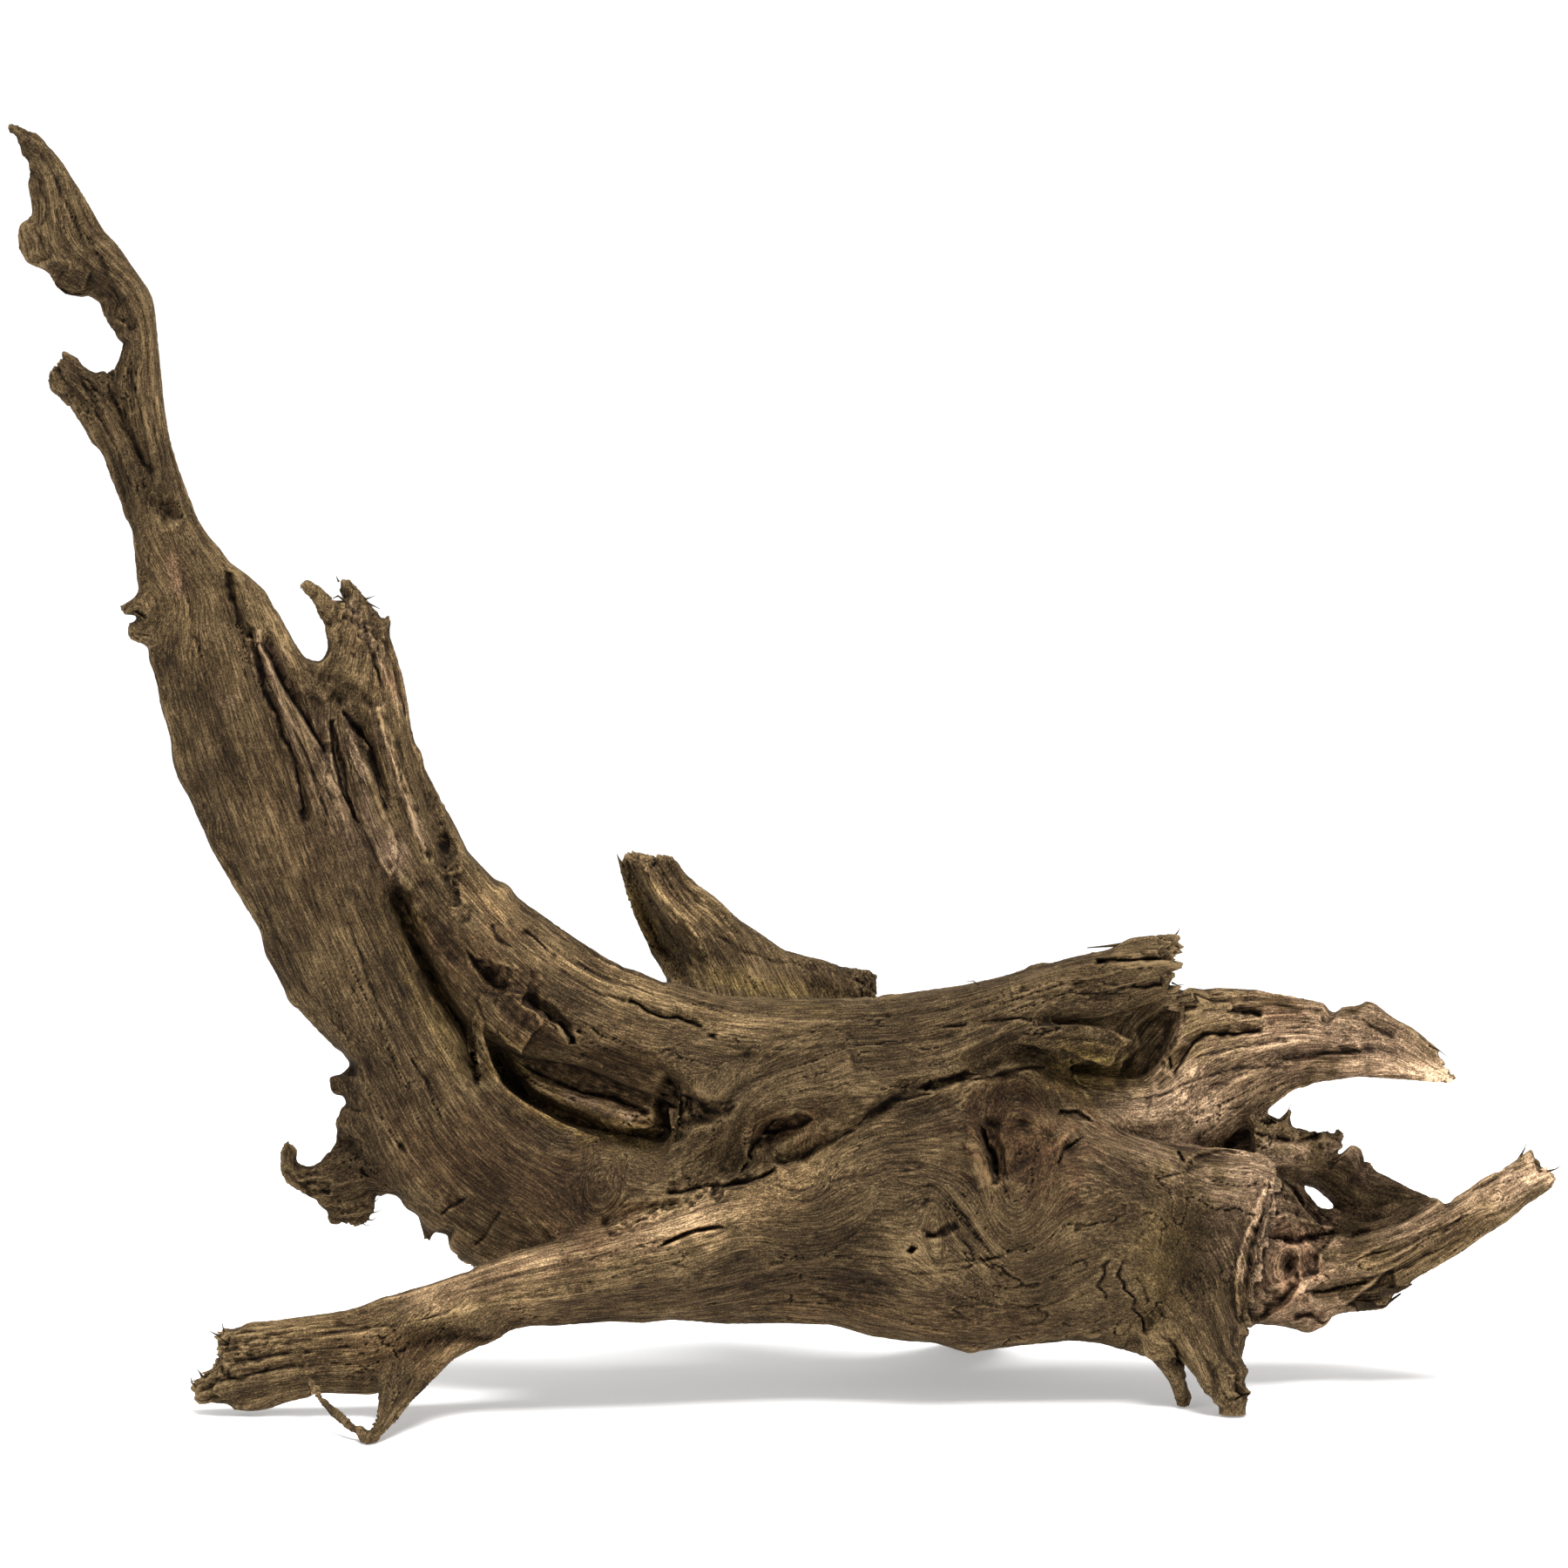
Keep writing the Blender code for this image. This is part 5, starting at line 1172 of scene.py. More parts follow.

# %% [markdown]
# The wood isn't one colour. The left root and the right roots are bleached like straw, the hollows are
# red-brown, the deep groove is mossy, and rubbed places have a pink cast. The pale tints also paint highlight
# on lit tops, crests and rims, and the umber darkens some wood and paints shade and shadow in grooves, under
# the beak, beside the flare's rim and on the inner root. Each tint is a list of strokes with a strength. The
# first list tints a whole limb, through to its back, and the second only what faces the eye.

# %% Where the tints are
THROUGH_TINTS = {
    "straw_and_highlight": [
        ([(240, 1560), (440, 1520), (600, 1470), (760, 1430)], 60, 0.45),
        ([(1500, 1200), (1670, 1235)], 60, 0.35), ([(1360, 1220), (1480, 1200)], 75, 0.45),
        ([(1600, 1440), (1780, 1345)], 45, 0.85), ([(1500, 1470), (1600, 1440)], 45, 0.4),
        ([(360, 680), (395, 760)], 26, 0.4), ([(440, 720), (480, 920)], 30, 0.35),
        ([(720, 985), (860, 1100)], 60, 0.4),
    ],
    "rub_and_highlight": [
        ([(1260, 1300), (1460, 1230)], 70, 0.88), ([(1440, 1350), (1500, 1500)], 55, 0.7),
        ([(1400, 1210), (1520, 1190), (1670, 1240)], 50, 0.78),
    ],
    # The umber on the inner root is painted shade: that root lies in shadow.
    "umber_and_shade": [([(1510, 1340), (1580, 1355), (1650, 1388)], 30, 1), ([(1450, 1295), (1560, 1305)], 24, 0.4)],
}
FRONT_TINTS = {
    # Straw in front: part bleached wood, part painted highlight on lit tops and rims: the left root's top,
    # the rim at the upright's foot, and the rims of the flare, the fin and the belly hollow.
    "straw_and_highlight": [
        ([(430, 1500), (600, 1448), (700, 1425), (860, 1385), (960, 1340)], 30, 1),
        ([(530, 1000), (590, 1070)], 26, 1), ([(600, 1085), (760, 1145), (900, 1190)], 30, 0.45),
        ([(735, 985), (810, 1095)], 22, 0.9), ([(165, 360), (190, 520)], 16, 0.35),
        ([(400, 700), (455, 900)], 18, 0.4), ([(1590, 1225), (1660, 1240)], 26, 0.7),
        ([(1640, 1410), (1720, 1385)], 18, 0.5),
        ([(1465, 1354), (1437, 1398), (1422, 1450), (1417, 1505), (1424, 1552)], 5, 0.4),
        ([(270, 860), (420, 1120)], 40, 0.2), ([(310, 690), (350, 800)], 14, 0.4),
        ([(180, 640), (235, 760)], 50, 0.3), ([(549, 1166), (573, 1240), (602, 1268), (650, 1291)], 4, 0.9),
        ([(1200, 1222), (1310, 1230)], 18, 0.1), ([(1112, 1292), (1134, 1330), (1136, 1362)], 2.6, 0.35),
        ([(1205, 1316), (1222, 1304)], 7, 0.3), ([(1745, 1330), (1785, 1350)], 26, 0.7),
        ([(590, 1165), (600, 1210)], 14, 0.5), ([(720, 1280), (750, 1290)], 14, 0.5),
    ],
    # Rub in front: part pink wear, part painted highlight along the rib crests and on the beak's upward
    # faces.
    "rub_and_highlight": [
        ([(1560, 1425), (1640, 1398), (1760, 1335)], 22, 0.35), ([(1600, 1228), (1670, 1240)], 24, 0.95),
        ([(1738, 1348), (1785, 1338)], 26, 0.8),
        ([(430, 1500), (600, 1448), (700, 1425), (860, 1385)], 22, 0.2),
        ([(440, 950), (458, 1010)], 18, 0.9), ([(1260, 1290), (1400, 1240)], 45, 0.9),
        ([(1440, 1360), (1470, 1500)], 40, 0.6), ([(350, 790), (420, 1000)], 30, 0.3),
        ([(1545, 1320), (1580, 1345)], 20, 0.7), ([(290, 740), (340, 820)], 20, 0.3),
        ([(600, 1242), (680, 1268), (745, 1290)], 12, 0.45),
        ([(295, 721), (313, 778), (334, 835), (348, 927)], 6, 0.4),
        ([(306, 735), (348, 813), (370, 849), (395, 913)], 6, 0.4),
        ([(398, 813), (427, 941), (448, 998)], 8, 0.5), ([(427, 813), (455, 899), (491, 977)], 6, 0.3),
        ([(398, 685), (427, 742), (462, 813)], 6, 0.3), ([(199, 643), (206, 671)], 10, 0.4),
        ([(252, 792), (264, 822)], 9, 0.4),
    ],
    "red": [
        ([(199, 643), (206, 671)], 10, 0.6), ([(440, 760), (462, 806)], 8, 0.6),
        ([(1440, 1150), (1510, 1165)], 18, 0.6), ([(640, 1200), (720, 1215), (790, 1250)], 40, 0.3),
        ([(600, 1225), (700, 1250), (800, 1275)], 42, 0.4), ([(520, 1320), (650, 1370)], 70, 0.45),
        ([(1150, 1290), (1200, 1330)], 60, 0.8), ([(880, 1295), (930, 1290)], 18, 0.9),
        ([(470, 1030), (540, 1150)], 30, 0.6), ([(1480, 1420), (1480, 1480)], 40, 0.5),
        ([(850, 1500), (1250, 1530)], 40, 0.35), ([(360, 1540), (500, 1560), (640, 1505)], 26, 0.35),
        ([(560, 1100), (620, 1180)], 40, 0.5),
    ],
    # Umber: part darker wood, part painted shade and shadow in the rib grooves, under the beak, beside the
    # flare's rim and on the inner root.
    "umber_and_shade": [
        ([(378, 835), (390, 870), (402, 905)], 6, 0.8), ([(441, 764), (455, 790), (466, 806)], 6, 0.8),
        ([(405, 830), (430, 880), (452, 930)], 5, 0.7), ([(470, 900), (495, 960)], 7, 0.6),
        ([(760, 1235), (820, 1275)], 24, 0.6), ([(1050, 1350), (1130, 1400), (1260, 1420)], 40, 0.3),
        ([(640, 1512), (760, 1488), (900, 1470), (1040, 1480)], 30, 0.95),
        ([(500, 925), (512, 978)], 16, 0.9),
        ([(446, 1010), (470, 1070), (500, 1140), (530, 1195)], 10, 0.9),
        ([(1590, 1462), (1640, 1440), (1690, 1408)], 12, 0.7),
        ([(1440, 1238), (1500, 1224), (1570, 1212)], 14, 0.9), ([(1470, 1180), (1540, 1170)], 12, 0.6),
        ([(1366, 1206), (1400, 1192), (1450, 1188)], 8, 0.8),
        ([(1468, 1512), (1493, 1459), (1535, 1409)], 16, 0.9),
        ([(640, 1200), (730, 1225), (790, 1262)], 40, 0.3), ([(930, 1395), (1020, 1380)], 34, 0.4),
        ([(240, 740), (330, 930), (420, 1140)], 90, 0.95), ([(520, 1320), (650, 1370)], 85, 1),
        ([(380, 1260), (440, 1360)], 60, 0.8), ([(1140, 1295), (1190, 1330)], 60, 1),
        ([(1350, 1390), (1380, 1490)], 50, 0.45), ([(900, 1500), (1250, 1520)], 30, 0.3),
        ([(620, 1505), (760, 1500)], 20, 0.5), ([(1180, 1130), (1330, 1125)], 40, 0.9),
        ([(960, 1180), (1120, 1180)], 44, 0.8), ([(950, 1310), (1100, 1350)], 50, 0.85),
        ([(260, 1590), (340, 1580)], 26, 0.4), ([(80, 300), (130, 335), (175, 385)], 16, 0.8),
        ([(105, 500), (160, 590), (215, 680)], 20, 0.6), ([(730, 1040), (765, 1110)], 16, 0.7),
        ([(860, 1120), (980, 1130)], 20, 0.5), ([(1500, 1335), (1640, 1385)], 28, 1),
        ([(1500, 1380), (1560, 1400)], 24, 0.8), ([(490, 930), (530, 1050)], 24, 0.5),
        ([(480, 1040), (530, 1150)], 30, 0.4), ([(470, 1440), (530, 1440)], 30, 0.7),
    ],
    "moss": [
        ([(450, 1015), (500, 1140), (545, 1235)], 26, 0.4), ([(1180, 1222), (1320, 1228)], 28, 0.9),
        ([(560, 1190), (640, 1280), (760, 1310)], 20, 0.6), ([(1340, 1350), (1330, 1540)], 40, 0.25),
        ([(715, 1000), (770, 1110)], 18, 0.5), ([(800, 1120), (960, 1150)], 14, 0.4),
    ],
}


def tint(name):
    """How much of a tint each point takes."""
    through, ahead = THROUGH_TINTS.get(name, []), FRONT_TINTS.get(name, [])
    shares = [stroke_share(line, half) * strength for line, half, strength in through]
    shares += [stroke_share(line, half) * strength * front for line, half, strength in ahead]
    return np.clip(np.max(shares, axis=0), 0, 1)


def set_attribute(name, values):
    """Keeps a value or a row of three for each point of the skin, for the material to read."""
    kind = "FLOAT_VECTOR" if values.ndim == 2 else "FLOAT"
    attribute = skin.attributes.new(name, kind, "POINT")
    attribute.data.foreach_set("vector" if values.ndim == 2 else "value", values.astype(np.float32).ravel())


set_attribute("grain_a", grain_a / MM)
set_attribute("grain_b", grain_b / MM)
set_attribute("b_share", b_share)
set_attribute("hollow", np.stack([fine_hollow, broad_hollow, height], axis=1) / MM)
set_attribute("streak", np.stack([fibre, weave, cracks], axis=1))
# The pale tints carry painted highlight as well as bleaching and wear, and the stains carry painted shade as
# well as real colour.
set_attribute("pale", np.stack([tint("straw_and_highlight"), tint("rub_and_highlight"), rough], axis=1))
set_attribute("stain_and_shade", np.stack([tint("red"), tint("moss"), tint("umber_and_shade")], axis=1))
print("attributes:", [attribute.name for attribute in skin.attributes])

# %% [markdown]
# A material for weathered wood. The broad colours come from the skin's own measures, with painted shade in
# its hollows and the painted highlight and shade that the tints carry, and two fine noises that run with the
# grain add the fibres. All of it ends in one colour, one roughness and one bump.

# %% The wood material
def link(tree, kind, inputs, **settings):
    """A node with its inputs set: a socket is linked, and anything else is a value."""
    made = tree.nodes.new(kind)
    for name, value in settings.items():
        setattr(made, name, value)
    for name, value in inputs.items():
        if isinstance(value, bpy.types.NodeSocket):
            tree.links.new(value, made.inputs[name])
        else:
            made.inputs[name].default_value = value
    return made


def attribute(tree, name):
    return link(tree, "ShaderNodeAttribute", {}, attribute_name=name)


def parts(tree, name):
    """The three numbers that an attribute carries."""
    return link(tree, "ShaderNodeSeparateXYZ", {0: attribute(tree, name).outputs["Vector"]}).outputs


def math(tree, operation, *values):
    return link(tree, "ShaderNodeMath", dict(enumerate(values)), operation=operation).outputs[0]


def ranged(tree, value, low, high, to_low=0.0, to_high=1.0):
    inputs = {"Value": value, "From Min": low, "From Max": high, "To Min": to_low, "To Max": to_high}
    return link(tree, "ShaderNodeMapRange", inputs).outputs[0]


def blended(tree, share, below, above, mode="MIX"):
    return link(tree, "ShaderNodeMixRGB", {0: share, 1: below, 2: above}, blend_type=mode).outputs[0]


def tinted(tree, shown, share, times):
    """The colour with its red, green and blue multiplied, by as much of each as the share says."""
    return blended(tree, share, shown, blended(tree, 1.0, shown, (*times, 1), "MULTIPLY"))


def colour(red, green, blue):
    """A colour by its screen values, 0 to 255, as the linear light that the renderer needs."""
    return (*[((part / 255 + 0.055) / 1.055) ** 2.4 for part in (red, green, blue)], 1)


def grain_texture(tree, long, wide, detail):
    """Fine noise that runs with the grain, in both sets, mixed by the share. Sizes are in millimetres."""
    found = []
    for name in ("grain_a", "grain_b"):
        vector = attribute(tree, name).outputs["Vector"]
        scale = (1 / long, 1 / wide, 1 / wide)
        stretched = link(tree, "ShaderNodeMapping", {"Vector": vector, "Scale": scale})
        inputs = {"Vector": stretched.outputs[0], "Scale": 1.0, "Detail": detail, "Roughness": 0.62}
        found.append(link(tree, "ShaderNodeTexNoise", inputs).outputs["Fac"])
    share = attribute(tree, "b_share").outputs["Fac"]
    return link(tree, "ShaderNodeMix", {0: share, 2: found[0], 3: found[1]}).outputs[0]


def plain_texture(tree, scale, detail):
    """Noise that is the same in all directions."""
    where = link(tree, "ShaderNodeTexCoord", {}).outputs["Object"]
    inputs = {"Vector": where, "Scale": scale, "Detail": detail, "Roughness": 0.6}
    return link(tree, "ShaderNodeTexNoise", inputs).outputs["Fac"]


WOOD_SHADES = [
    (0.0, (27, 19, 11)), (0.3, (52, 40, 25)), (0.5, (72, 57, 37)), (0.72, (98, 80, 54)),
    (1.0, (138, 115, 81)),
]
STRAW_AND_HIGHLIGHT, RUB_AND_HIGHLIGHT = (2.9, 2.9, 2.9), (3.2, 3.25, 4.3)
RED, MOSS, UMBER_AND_SHADE = (0.82, 0.66, 0.6), (1.8, 1.85, 1.2), (0.55, 0.52, 0.5)


def wood_ramp(tree, tone):
    """The wood's own colours, from dark to pale. A new ramp already has two of its stops."""
    ramp = link(tree, "ShaderNodeValToRGB", {0: tone})
    for index, (at, shade) in enumerate(WOOD_SHADES):
        stop = ramp.color_ramp.elements[index] if index < 2 else ramp.color_ramp.elements.new(at)
        stop.position = at
        stop.color = colour(*shade)
    return ramp.outputs[0]


def wood_tone(tree, fibres, lines, speck, hollow):
    """One number from dark to pale: fibres and specks on broad mottling, with painted shade that lowers it in
    the hollows and raises it on ridges.
    """
    mottle = plain_texture(tree, 34.0, 4.0)
    tone = math(tree, "MULTIPLY_ADD", fibres, 1.8, math(tree, "MULTIPLY_ADD", lines, 0.45, -1.125))
    tone = math(tree, "MULTIPLY_ADD", mottle, 1.0, math(tree, "ADD", tone, -0.5))
    tone = math(tree, "MULTIPLY_ADD", speck, 1.2, math(tree, "ADD", tone, -0.13))
    tone = math(tree, "MULTIPLY_ADD", parts(tree, "streak")[1], 0.08, tone)
    # Painted shade: the tone drops in the fine and broad hollows, where shade falls.
    tone = math(tree, "MULTIPLY_ADD", hollow[0], -0.6, tone)
    return math(tree, "MULTIPLY_ADD", hollow[1], -0.10, tone)


def tinted_wood(tree, shown, lines):
    """The five tints, one over the other, painted highlight and painted shade among them. The straw tint is
    stronger on every other broad line.
    """
    pale, stain_and_shade = parts(tree, "pale"), parts(tree, "stain_and_shade")
    straw_and_highlight = math(tree, "MULTIPLY", pale[0], ranged(tree, lines, 0.3, 0.6, 0.5, 1.0))
    shares = [(straw_and_highlight, STRAW_AND_HIGHLIGHT), (pale[1], RUB_AND_HIGHLIGHT), (stain_and_shade[0], RED), (stain_and_shade[1], MOSS), (stain_and_shade[2], UMBER_AND_SHADE)]
    for share, times in shares:
        shown = tinted(tree, shown, share, times)
    return shown


def hollow_shade(tree, lines, hollow):
    """Painted shade: darker in the cracks and in the broad hollows, where shade falls, and along some thin
    lines of the grain.
    """
    fine_shade = ranged(tree, hollow[0], 0.05, 0.6, 1.0, 0.62)
    broad_shade = ranged(tree, hollow[1], 0.2, 3.5, 1.0, 0.72)
    hairline = math(tree, "ABSOLUTE", math(tree, "SUBTRACT", lines, 0.5))
    shade = math(tree, "MULTIPLY", fine_shade, ranged(tree, hairline, 0.0, 0.014, 0.6, 1.0))
    shade = math(tree, "MULTIPLY", shade, broad_shade)
    return link(tree, "ShaderNodeCombineColor", {0: shade, 1: shade, 2: shade}).outputs[0]


def wood_material(name):
    material = bpy.data.materials.new(name)
    material.use_nodes = True
    tree = material.node_tree
    shader = tree.nodes["Principled BSDF"]
    hollow = parts(tree, "hollow")
    fibres, lines = grain_texture(tree, 7, 0.55, 4.0), grain_texture(tree, 40, 2.2, 4.0)
    speck = plain_texture(tree, 1500.0, 2.0)
    tone = wood_tone(tree, fibres, lines, speck, hollow)
    shown = tinted_wood(tree, wood_ramp(tree, tone), lines)
    # The painted shade of the cracks and hollows is multiplied over the colour.
    shown = blended(tree, 1.0, shown, hollow_shade(tree, lines, hollow), "MULTIPLY")
    tree.links.new(shown, shader.inputs["Base Color"])
    tree.links.new(ranged(tree, tone, 0.0, 1.0, 0.95, 0.74), shader.inputs["Roughness"])
    shader.inputs["Specular IOR Level"].default_value = 0.12
    relief = math(tree, "MULTIPLY_ADD", lines, 1.1, fibres)
    relief = math(tree, "MULTIPLY_ADD", speck, 0.5, relief)
    bump = link(tree, "ShaderNodeBump", {"Height": relief, "Strength": 0.8, "Distance": 0.8 * MM})
    tree.links.new(bump.outputs[0], shader.inputs["Normal"])
    return material


weathered = wood_material("weathered_wood")
print("nodes in the wood material:", len(weathered.node_tree.nodes))

# %% [markdown]
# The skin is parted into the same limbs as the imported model, so that each one stands for its own node. A
# face belongs to a limb if its middle lies inside the limb's outline in the picture, between two depths.
# The trunk is large, so it is parted once more across its length, into four.

# %% Which limb each face belongs to
THROUGH = (-250, 250)
FORKS = {
    "crown_limb": ([(-60, 90), (330, 90), (330, 592), (60, 634)], *THROUGH),
    "torn_spur": ([(325, 640), (328, 690), (345, 735), (358, 762), (392, 880), (540, 880), (540, 640)],
        *THROUGH),
    "rear_root": ([(690, 950), (1040, 950), (1040, 1230), (690, 1230)], 50, 250),
    "rear_leg": ([(900, 1440), (1250, 1440), (1250, 1700), (900, 1700)], 60, 250),
    "upright_branch": ([(100, 500), (700, 500), (700, 968), (100, 1095)], *THROUGH),
    "left_root": ([(150, 1480), (430, 1476), (546, 1456), (590, 1545), (590, 1720), (150, 1720)], *THROUGH),
    "upper_right_branch": (
        [(1110, 1040), (1385, 1040), (1385, 1118), (1352, 1146), (1312, 1172), (1110, 1184)], *THROUGH,
    ),
    "beak_root": (
        [(1390, 1090), (1720, 1090), (1720, 1270), (1470, 1270), (1452, 1284), (1362, 1190), (1356, 1145)],
        *THROUGH,
    ),
    "right_root": (
        [(1586, 1330), (1820, 1280), (1820, 1560), (1512, 1560), (1512, 1440), (1548, 1398)], *THROUGH,
    ),
    "trunk_left": ([(-100, 0), (670, 0), (670, 1800), (-100, 1800)], *THROUGH),
    "trunk_middle": ([(670, 0), (965, 0), (965, 1800), (670, 1800)], *THROUGH),
    "trunk_right": ([(965, 0), (1280, 0), (1280, 1800), (965, 1800)], *THROUGH),
}
LIMBS = [*FORKS, "flared_end"]
middles = np.empty(len(skin.polygons) * 3)
skin.polygons.foreach_get("center", middles)
middles = middles.reshape(-1, 3)
spots = places_of(middles)
depths = (middles[:, 1] - DEPTH_ZERO) / MM
limb_of_face = np.full(len(middles), len(FORKS), np.int32)
free = np.ones(len(middles), bool)
for index, (outline, near, far) in enumerate(FORKS.values()):
    taken = free & inside(spots, outline) & (depths > near) & (depths < far)
    limb_of_face[taken] = index
    free &= ~taken
print({name: int((limb_of_face == index).sum()) * 2 for index, name in enumerate(LIMBS)})

# %% [markdown]
# Each limb is its own closed solid. The open rim where it was parted is filled, and the fill's edge is kept
# sharp, so that the wood outside it looks unbroken.

# %% Part the skin into limbs
STANDS_FOR = {"trunk_left": "trunk", "trunk_middle": "trunk", "trunk_right": "trunk", "flared_end": "trunk"}
limb_mark = skin.attributes.new("limb", "INT", "FACE")
limb_mark.data.foreach_set("value", limb_of_face)
for _ in LIMBS:
    skin.materials.append(weathered)
skin.polygons.foreach_set("material_index", limb_of_face)
skin.polygons.foreach_set("use_smooth", np.ones(len(skin.polygons), bool))
whole = add_object("wood", skin)
bpy.context.view_layer.objects.active = whole
whole.select_set(True)
bpy.ops.object.mode_set(mode="EDIT")
bpy.ops.mesh.separate(type="MATERIAL")
bpy.ops.object.mode_set(mode="OBJECT")


def close_rims(mesh):
    """Fills each open rim with faces, and keeps the fill's edge sharp."""
    bm = bmesh.new()
    bm.from_mesh(mesh)
    rim = [edge for edge in bm.edges if edge.is_boundary]
    filled = bmesh.ops.holes_fill(bm, edges=rim, sides=0)["faces"]
    bmesh.ops.triangulate(bm, faces=filled)
    for edge in rim:
        edge.smooth = False
    bm.to_mesh(mesh)
    bm.free()
    return len(filled)


marked = [obj for obj in bpy.context.scene.objects if obj.type == "MESH" and "limb" in obj.data.attributes]
for piece in marked:
    name = LIMBS[piece.data.attributes["limb"].data[0].value]
    piece.name = "wood_" + name
    rims = close_rims(piece.data)
    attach(piece, "root")
    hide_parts(STANDS_FOR.get(name, name))
    print(piece.name, len(piece.data.polygons) * 2, "triangles,", rims, "rims closed")

# %% [markdown]
# At the torn places single splinters and stiff fibres stand off the wood. They are too thin to be carved,
# so each is a small tapered rod, closed at both ends, along a few places in the picture with their depths.

# %% Splinters and stiff fibres
SPLINTERS = {
    "torn_spur": [
        (0.5, [(419, 688, 13), (425, 686, 12), (430, 684, 12)]),
        (0.6, [(421, 692, 13), (430, 696, 12), (436, 699, 12)]),
        (0.5, [(350, 671, 7), (345, 675, 7), (348, 678, 7)]),
        (0.9, [(396, 690, 9), (388, 684, 8), (382, 687, 7), (385, 692, 7)]),
        (0.4, [(390, 690, 8), (394, 697, 8), (398, 694, 8)]),
        (0.5, [(399, 688, 8), (397, 694, 7), (395, 701, 7)]),
        (0.5, [(389, 668, 17), (387, 664, 17), (386, 661, 17)]),
    ],
    "trunk": [
        (0.6, [(421, 1392, 3), (430, 1392, 3), (438, 1389, 2)]),
        (0.5, [(422, 1383, 3), (431, 1379, 3), (437, 1372, 3)]),
        (0.6, [(418, 1399, 3), (427, 1401, 2), (433, 1397, 2)]),
        (0.5, [(424, 1380, 3), (428, 1388, 2), (434, 1386, 2)]),
        (0.4, [(414, 1403, 3), (421, 1407, 2), (429, 1405, 2)]),
    ],
    "upper_right_branch": [
        (1.2, [(1300, 1083, -4), (1272, 1086, -5), (1248, 1088, -5)]),
        (0.6, [(1162, 1146, -21), (1159, 1134, -22), (1157, 1121, -22)]),
        (0.5, [(1124, 1131, -12), (1117, 1126, -12), (1108, 1127, -12)]),
        (0.5, [(1345, 1128, 0), (1352, 1131, 0), (1360, 1130, 0)]),
        (0.6, [(1344, 1080, -2), (1352, 1070, -2), (1354, 1066, -2)]),
    ],
    "beak_root": [
        (0.6, [(1640, 1200, 2), (1651, 1205, 2), (1660, 1212, 2)]),
        (0.5, [(1470, 1285, 12), (1478, 1276, 12), (1482, 1267, 12)]),
    ],
    "right_root": [
        (2.4, [(1556, 1499, 14), (1588, 1499, 15), (1608, 1485, 16)]),
        (2.2, [(1584, 1483, 11), (1604, 1482, 11), (1621, 1474, 11)]),
        (0.6, [(1745, 1328, -4), (1750, 1319, -4), (1752, 1313, -4)]),
        (0.6, [(1776, 1345, -3), (1786, 1342, -3), (1792, 1338, -3)]),
    ],
    "left_root": [
        (0.7, [(254, 1534, -47), (246, 1531, -47), (241, 1528, -47)]),
        (0.6, [(258, 1530, -47), (256, 1524, -47), (255, 1518, -47)]),
        (0.6, [(232, 1580, -47), (229, 1575, -47), (226, 1572, -47)]),
        (0.8, [(226, 1592, -47), (220, 1587, -47), (219, 1581, -47)]),
    ],
}
SIDES = 6
ROD_STEPS = 4
SHRINK = 0.8


def add_rod(bm, corners, radius):
    """A rod bent through the corners: a small disc, extruded step by step, that shrinks to a fine tip."""
    knots = [Vector(seen_at(*corner)) for corner in corners]
    turned = (knots[-1] - knots[0]).to_track_quat("Z", "Y").to_matrix().to_4x4()
    place = Matrix.Translation(knots[0]) @ turned
    disc = bmesh.ops.create_circle(bm, cap_ends=True, segments=SIDES, radius=radius * MM, matrix=place)
    end = disc["verts"][0].link_faces[0]
    middle = knots[0]
    for start, goal in zip(knots, knots[1:]):
        for _ in range(ROD_STEPS):
            grown = bmesh.ops.extrude_face_region(bm, geom=[end])["geom"]
            end = next(part for part in grown if isinstance(part, bmesh.types.BMFace))
            bmesh.ops.translate(bm, vec=(goal - start) / ROD_STEPS, verts=end.verts)
            middle = middle + (goal - start) / ROD_STEPS
            about = Matrix.Translation(-middle)
            bmesh.ops.scale(bm, vec=(SHRINK, SHRINK, SHRINK), space=about, verts=end.verts)


def sort_by_place(elements, place_of):
    """Extruding makes elements in no fixed order. Sorted by place, they are the same in each run."""
    ordered = sorted(elements, key=lambda element: tuple(place_of(element)))
    rank = {element: index for index, element in enumerate(ordered)}
    elements.sort(key=rank.get)


for node, rods in SPLINTERS.items():
    bm = bmesh.new()
    for radius, corners in rods:
        add_rod(bm, corners, radius)
    sort_by_place(bm.verts, lambda vert: vert.co)
    sort_by_place(bm.faces, lambda face: face.calc_center_median())
    bmesh.ops.recalc_face_normals(bm, faces=bm.faces)
    mesh = bpy.data.meshes.new("splinters_" + node)
    bm.to_mesh(mesh)
    bm.free()
    mesh.materials.append(weathered)
    piece = add_object("splinters_" + node, mesh)
    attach(piece, "root")
    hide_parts(node)
print("splinters:", sum(len(rods) for rods in SPLINTERS.values()))

# %% [markdown]
# The wood lies on a plain pale floor that curves up behind it, so that no horizon shows. The paper glows a
# little by itself, so that it stays nearly white far from the light.

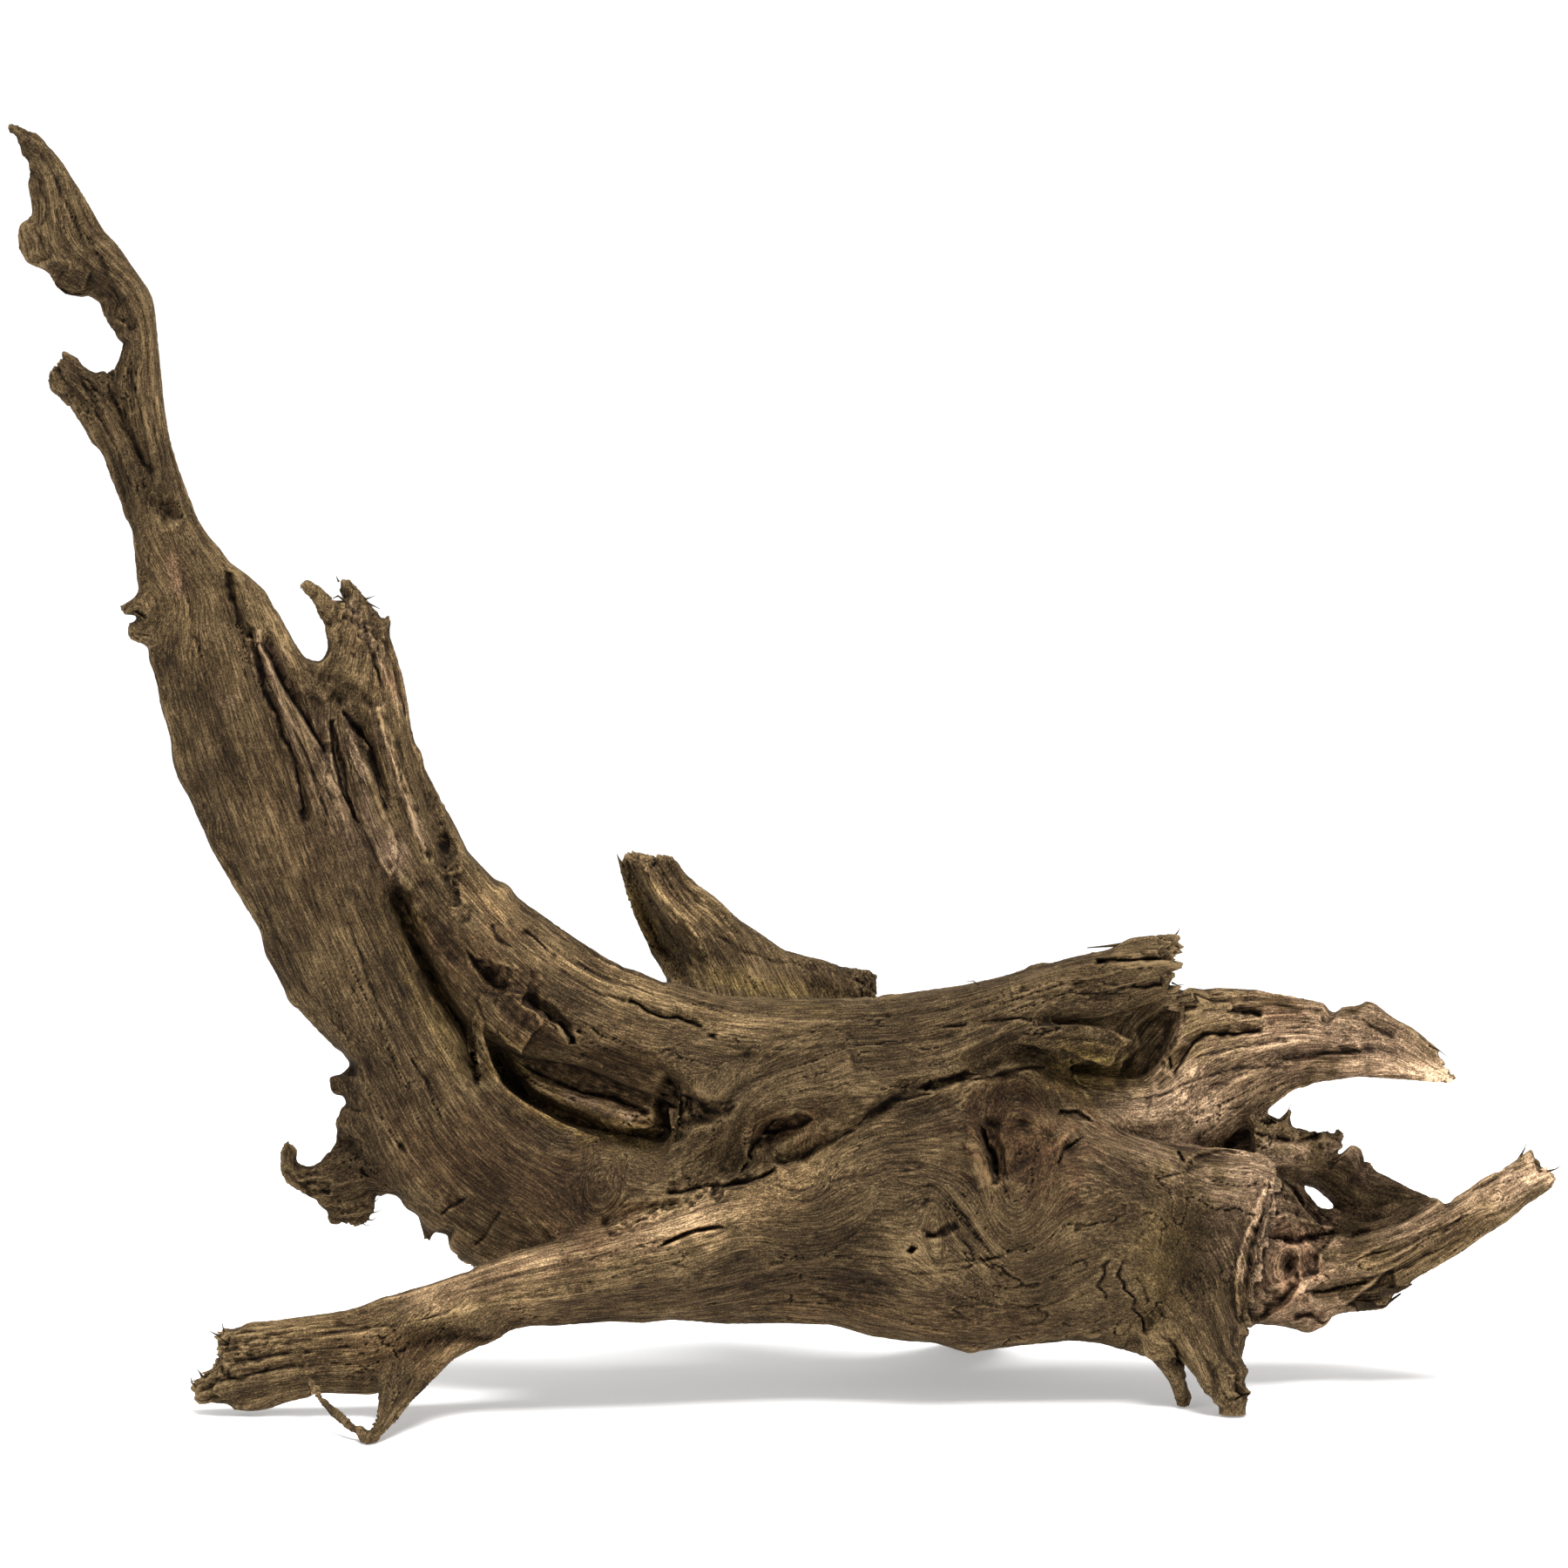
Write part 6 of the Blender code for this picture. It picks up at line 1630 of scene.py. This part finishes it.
# %% Floor and backdrop
FLOOR_HALF = 3.0
FLOOR_DROP = 0.2 * MM
bm = bmesh.new()
profile = [(-3.5, 0.0), (2.5, 0.0), (3.0, 0.05), (3.4, 0.25), (3.6, 0.7), (3.65, 3.5)]
corners = [bm.verts.new((-FLOOR_HALF, y, z - FLOOR_DROP)) for y, z in profile]
edges = [bm.edges.new(pair) for pair in zip(corners, corners[1:])]
swept = bmesh.ops.extrude_edge_only(bm, edges=edges)["geom"]
for item in swept:
    if isinstance(item, bmesh.types.BMVert):
        item.co.x = FLOOR_HALF
bmesh.ops.recalc_face_normals(bm, faces=bm.faces)
floor_mesh = bpy.data.meshes.new("floor")
bm.to_mesh(floor_mesh)
bm.free()
floor = add_object("floor", floor_mesh)
floor.data.shade_smooth()
paper = bpy.data.materials.new("paper")
paper.use_nodes = True
paper_shader = paper.node_tree.nodes["Principled BSDF"]
paper_shader.inputs["Base Color"].default_value = (0.93, 0.93, 0.93, 1)
paper_shader.inputs["Roughness"].default_value = 0.9
paper_shader.inputs["Emission Color"].default_value = (1, 1, 1, 1)
paper_shader.inputs["Emission Strength"].default_value = 0.25
floor.data.materials.append(paper)
print("floor:", len(floor_mesh.polygons), "faces")

# %% [markdown]
# The light in the photograph is soft and comes from above and from in front. One large panel gives it, a
# weaker one fills in from the left, and a pale world fills the rest.

# %% Light
def add_panel(name, place, size, power):
    data = bpy.data.lights.new(name, "AREA")
    data.size = size
    data.energy = power
    panel = bpy.data.objects.new(name, data)
    panel.location = place
    panel.rotation_euler = (Vector((0, 0, 0.2)) - Vector(place)).to_track_quat("-Z", "Y").to_euler()
    bpy.context.scene.collection.objects.link(panel)
    return panel


add_panel("key_panel", (0.25, -0.75, 2.2), 1.1, 78)
add_panel("fill_panel", (-1.6, -2.0, 1.0), 1.6, 10)
world = bpy.data.worlds.new("world")
bpy.context.scene.world = world
world.use_nodes = True
world.node_tree.nodes["Background"].inputs["Color"].default_value = (1, 1, 1, 1)
world.node_tree.nodes["Background"].inputs["Strength"].default_value = 0.5
bpy.context.scene.view_settings.view_transform = "Standard"
print("lights:", [light.name for light in bpy.data.lights])
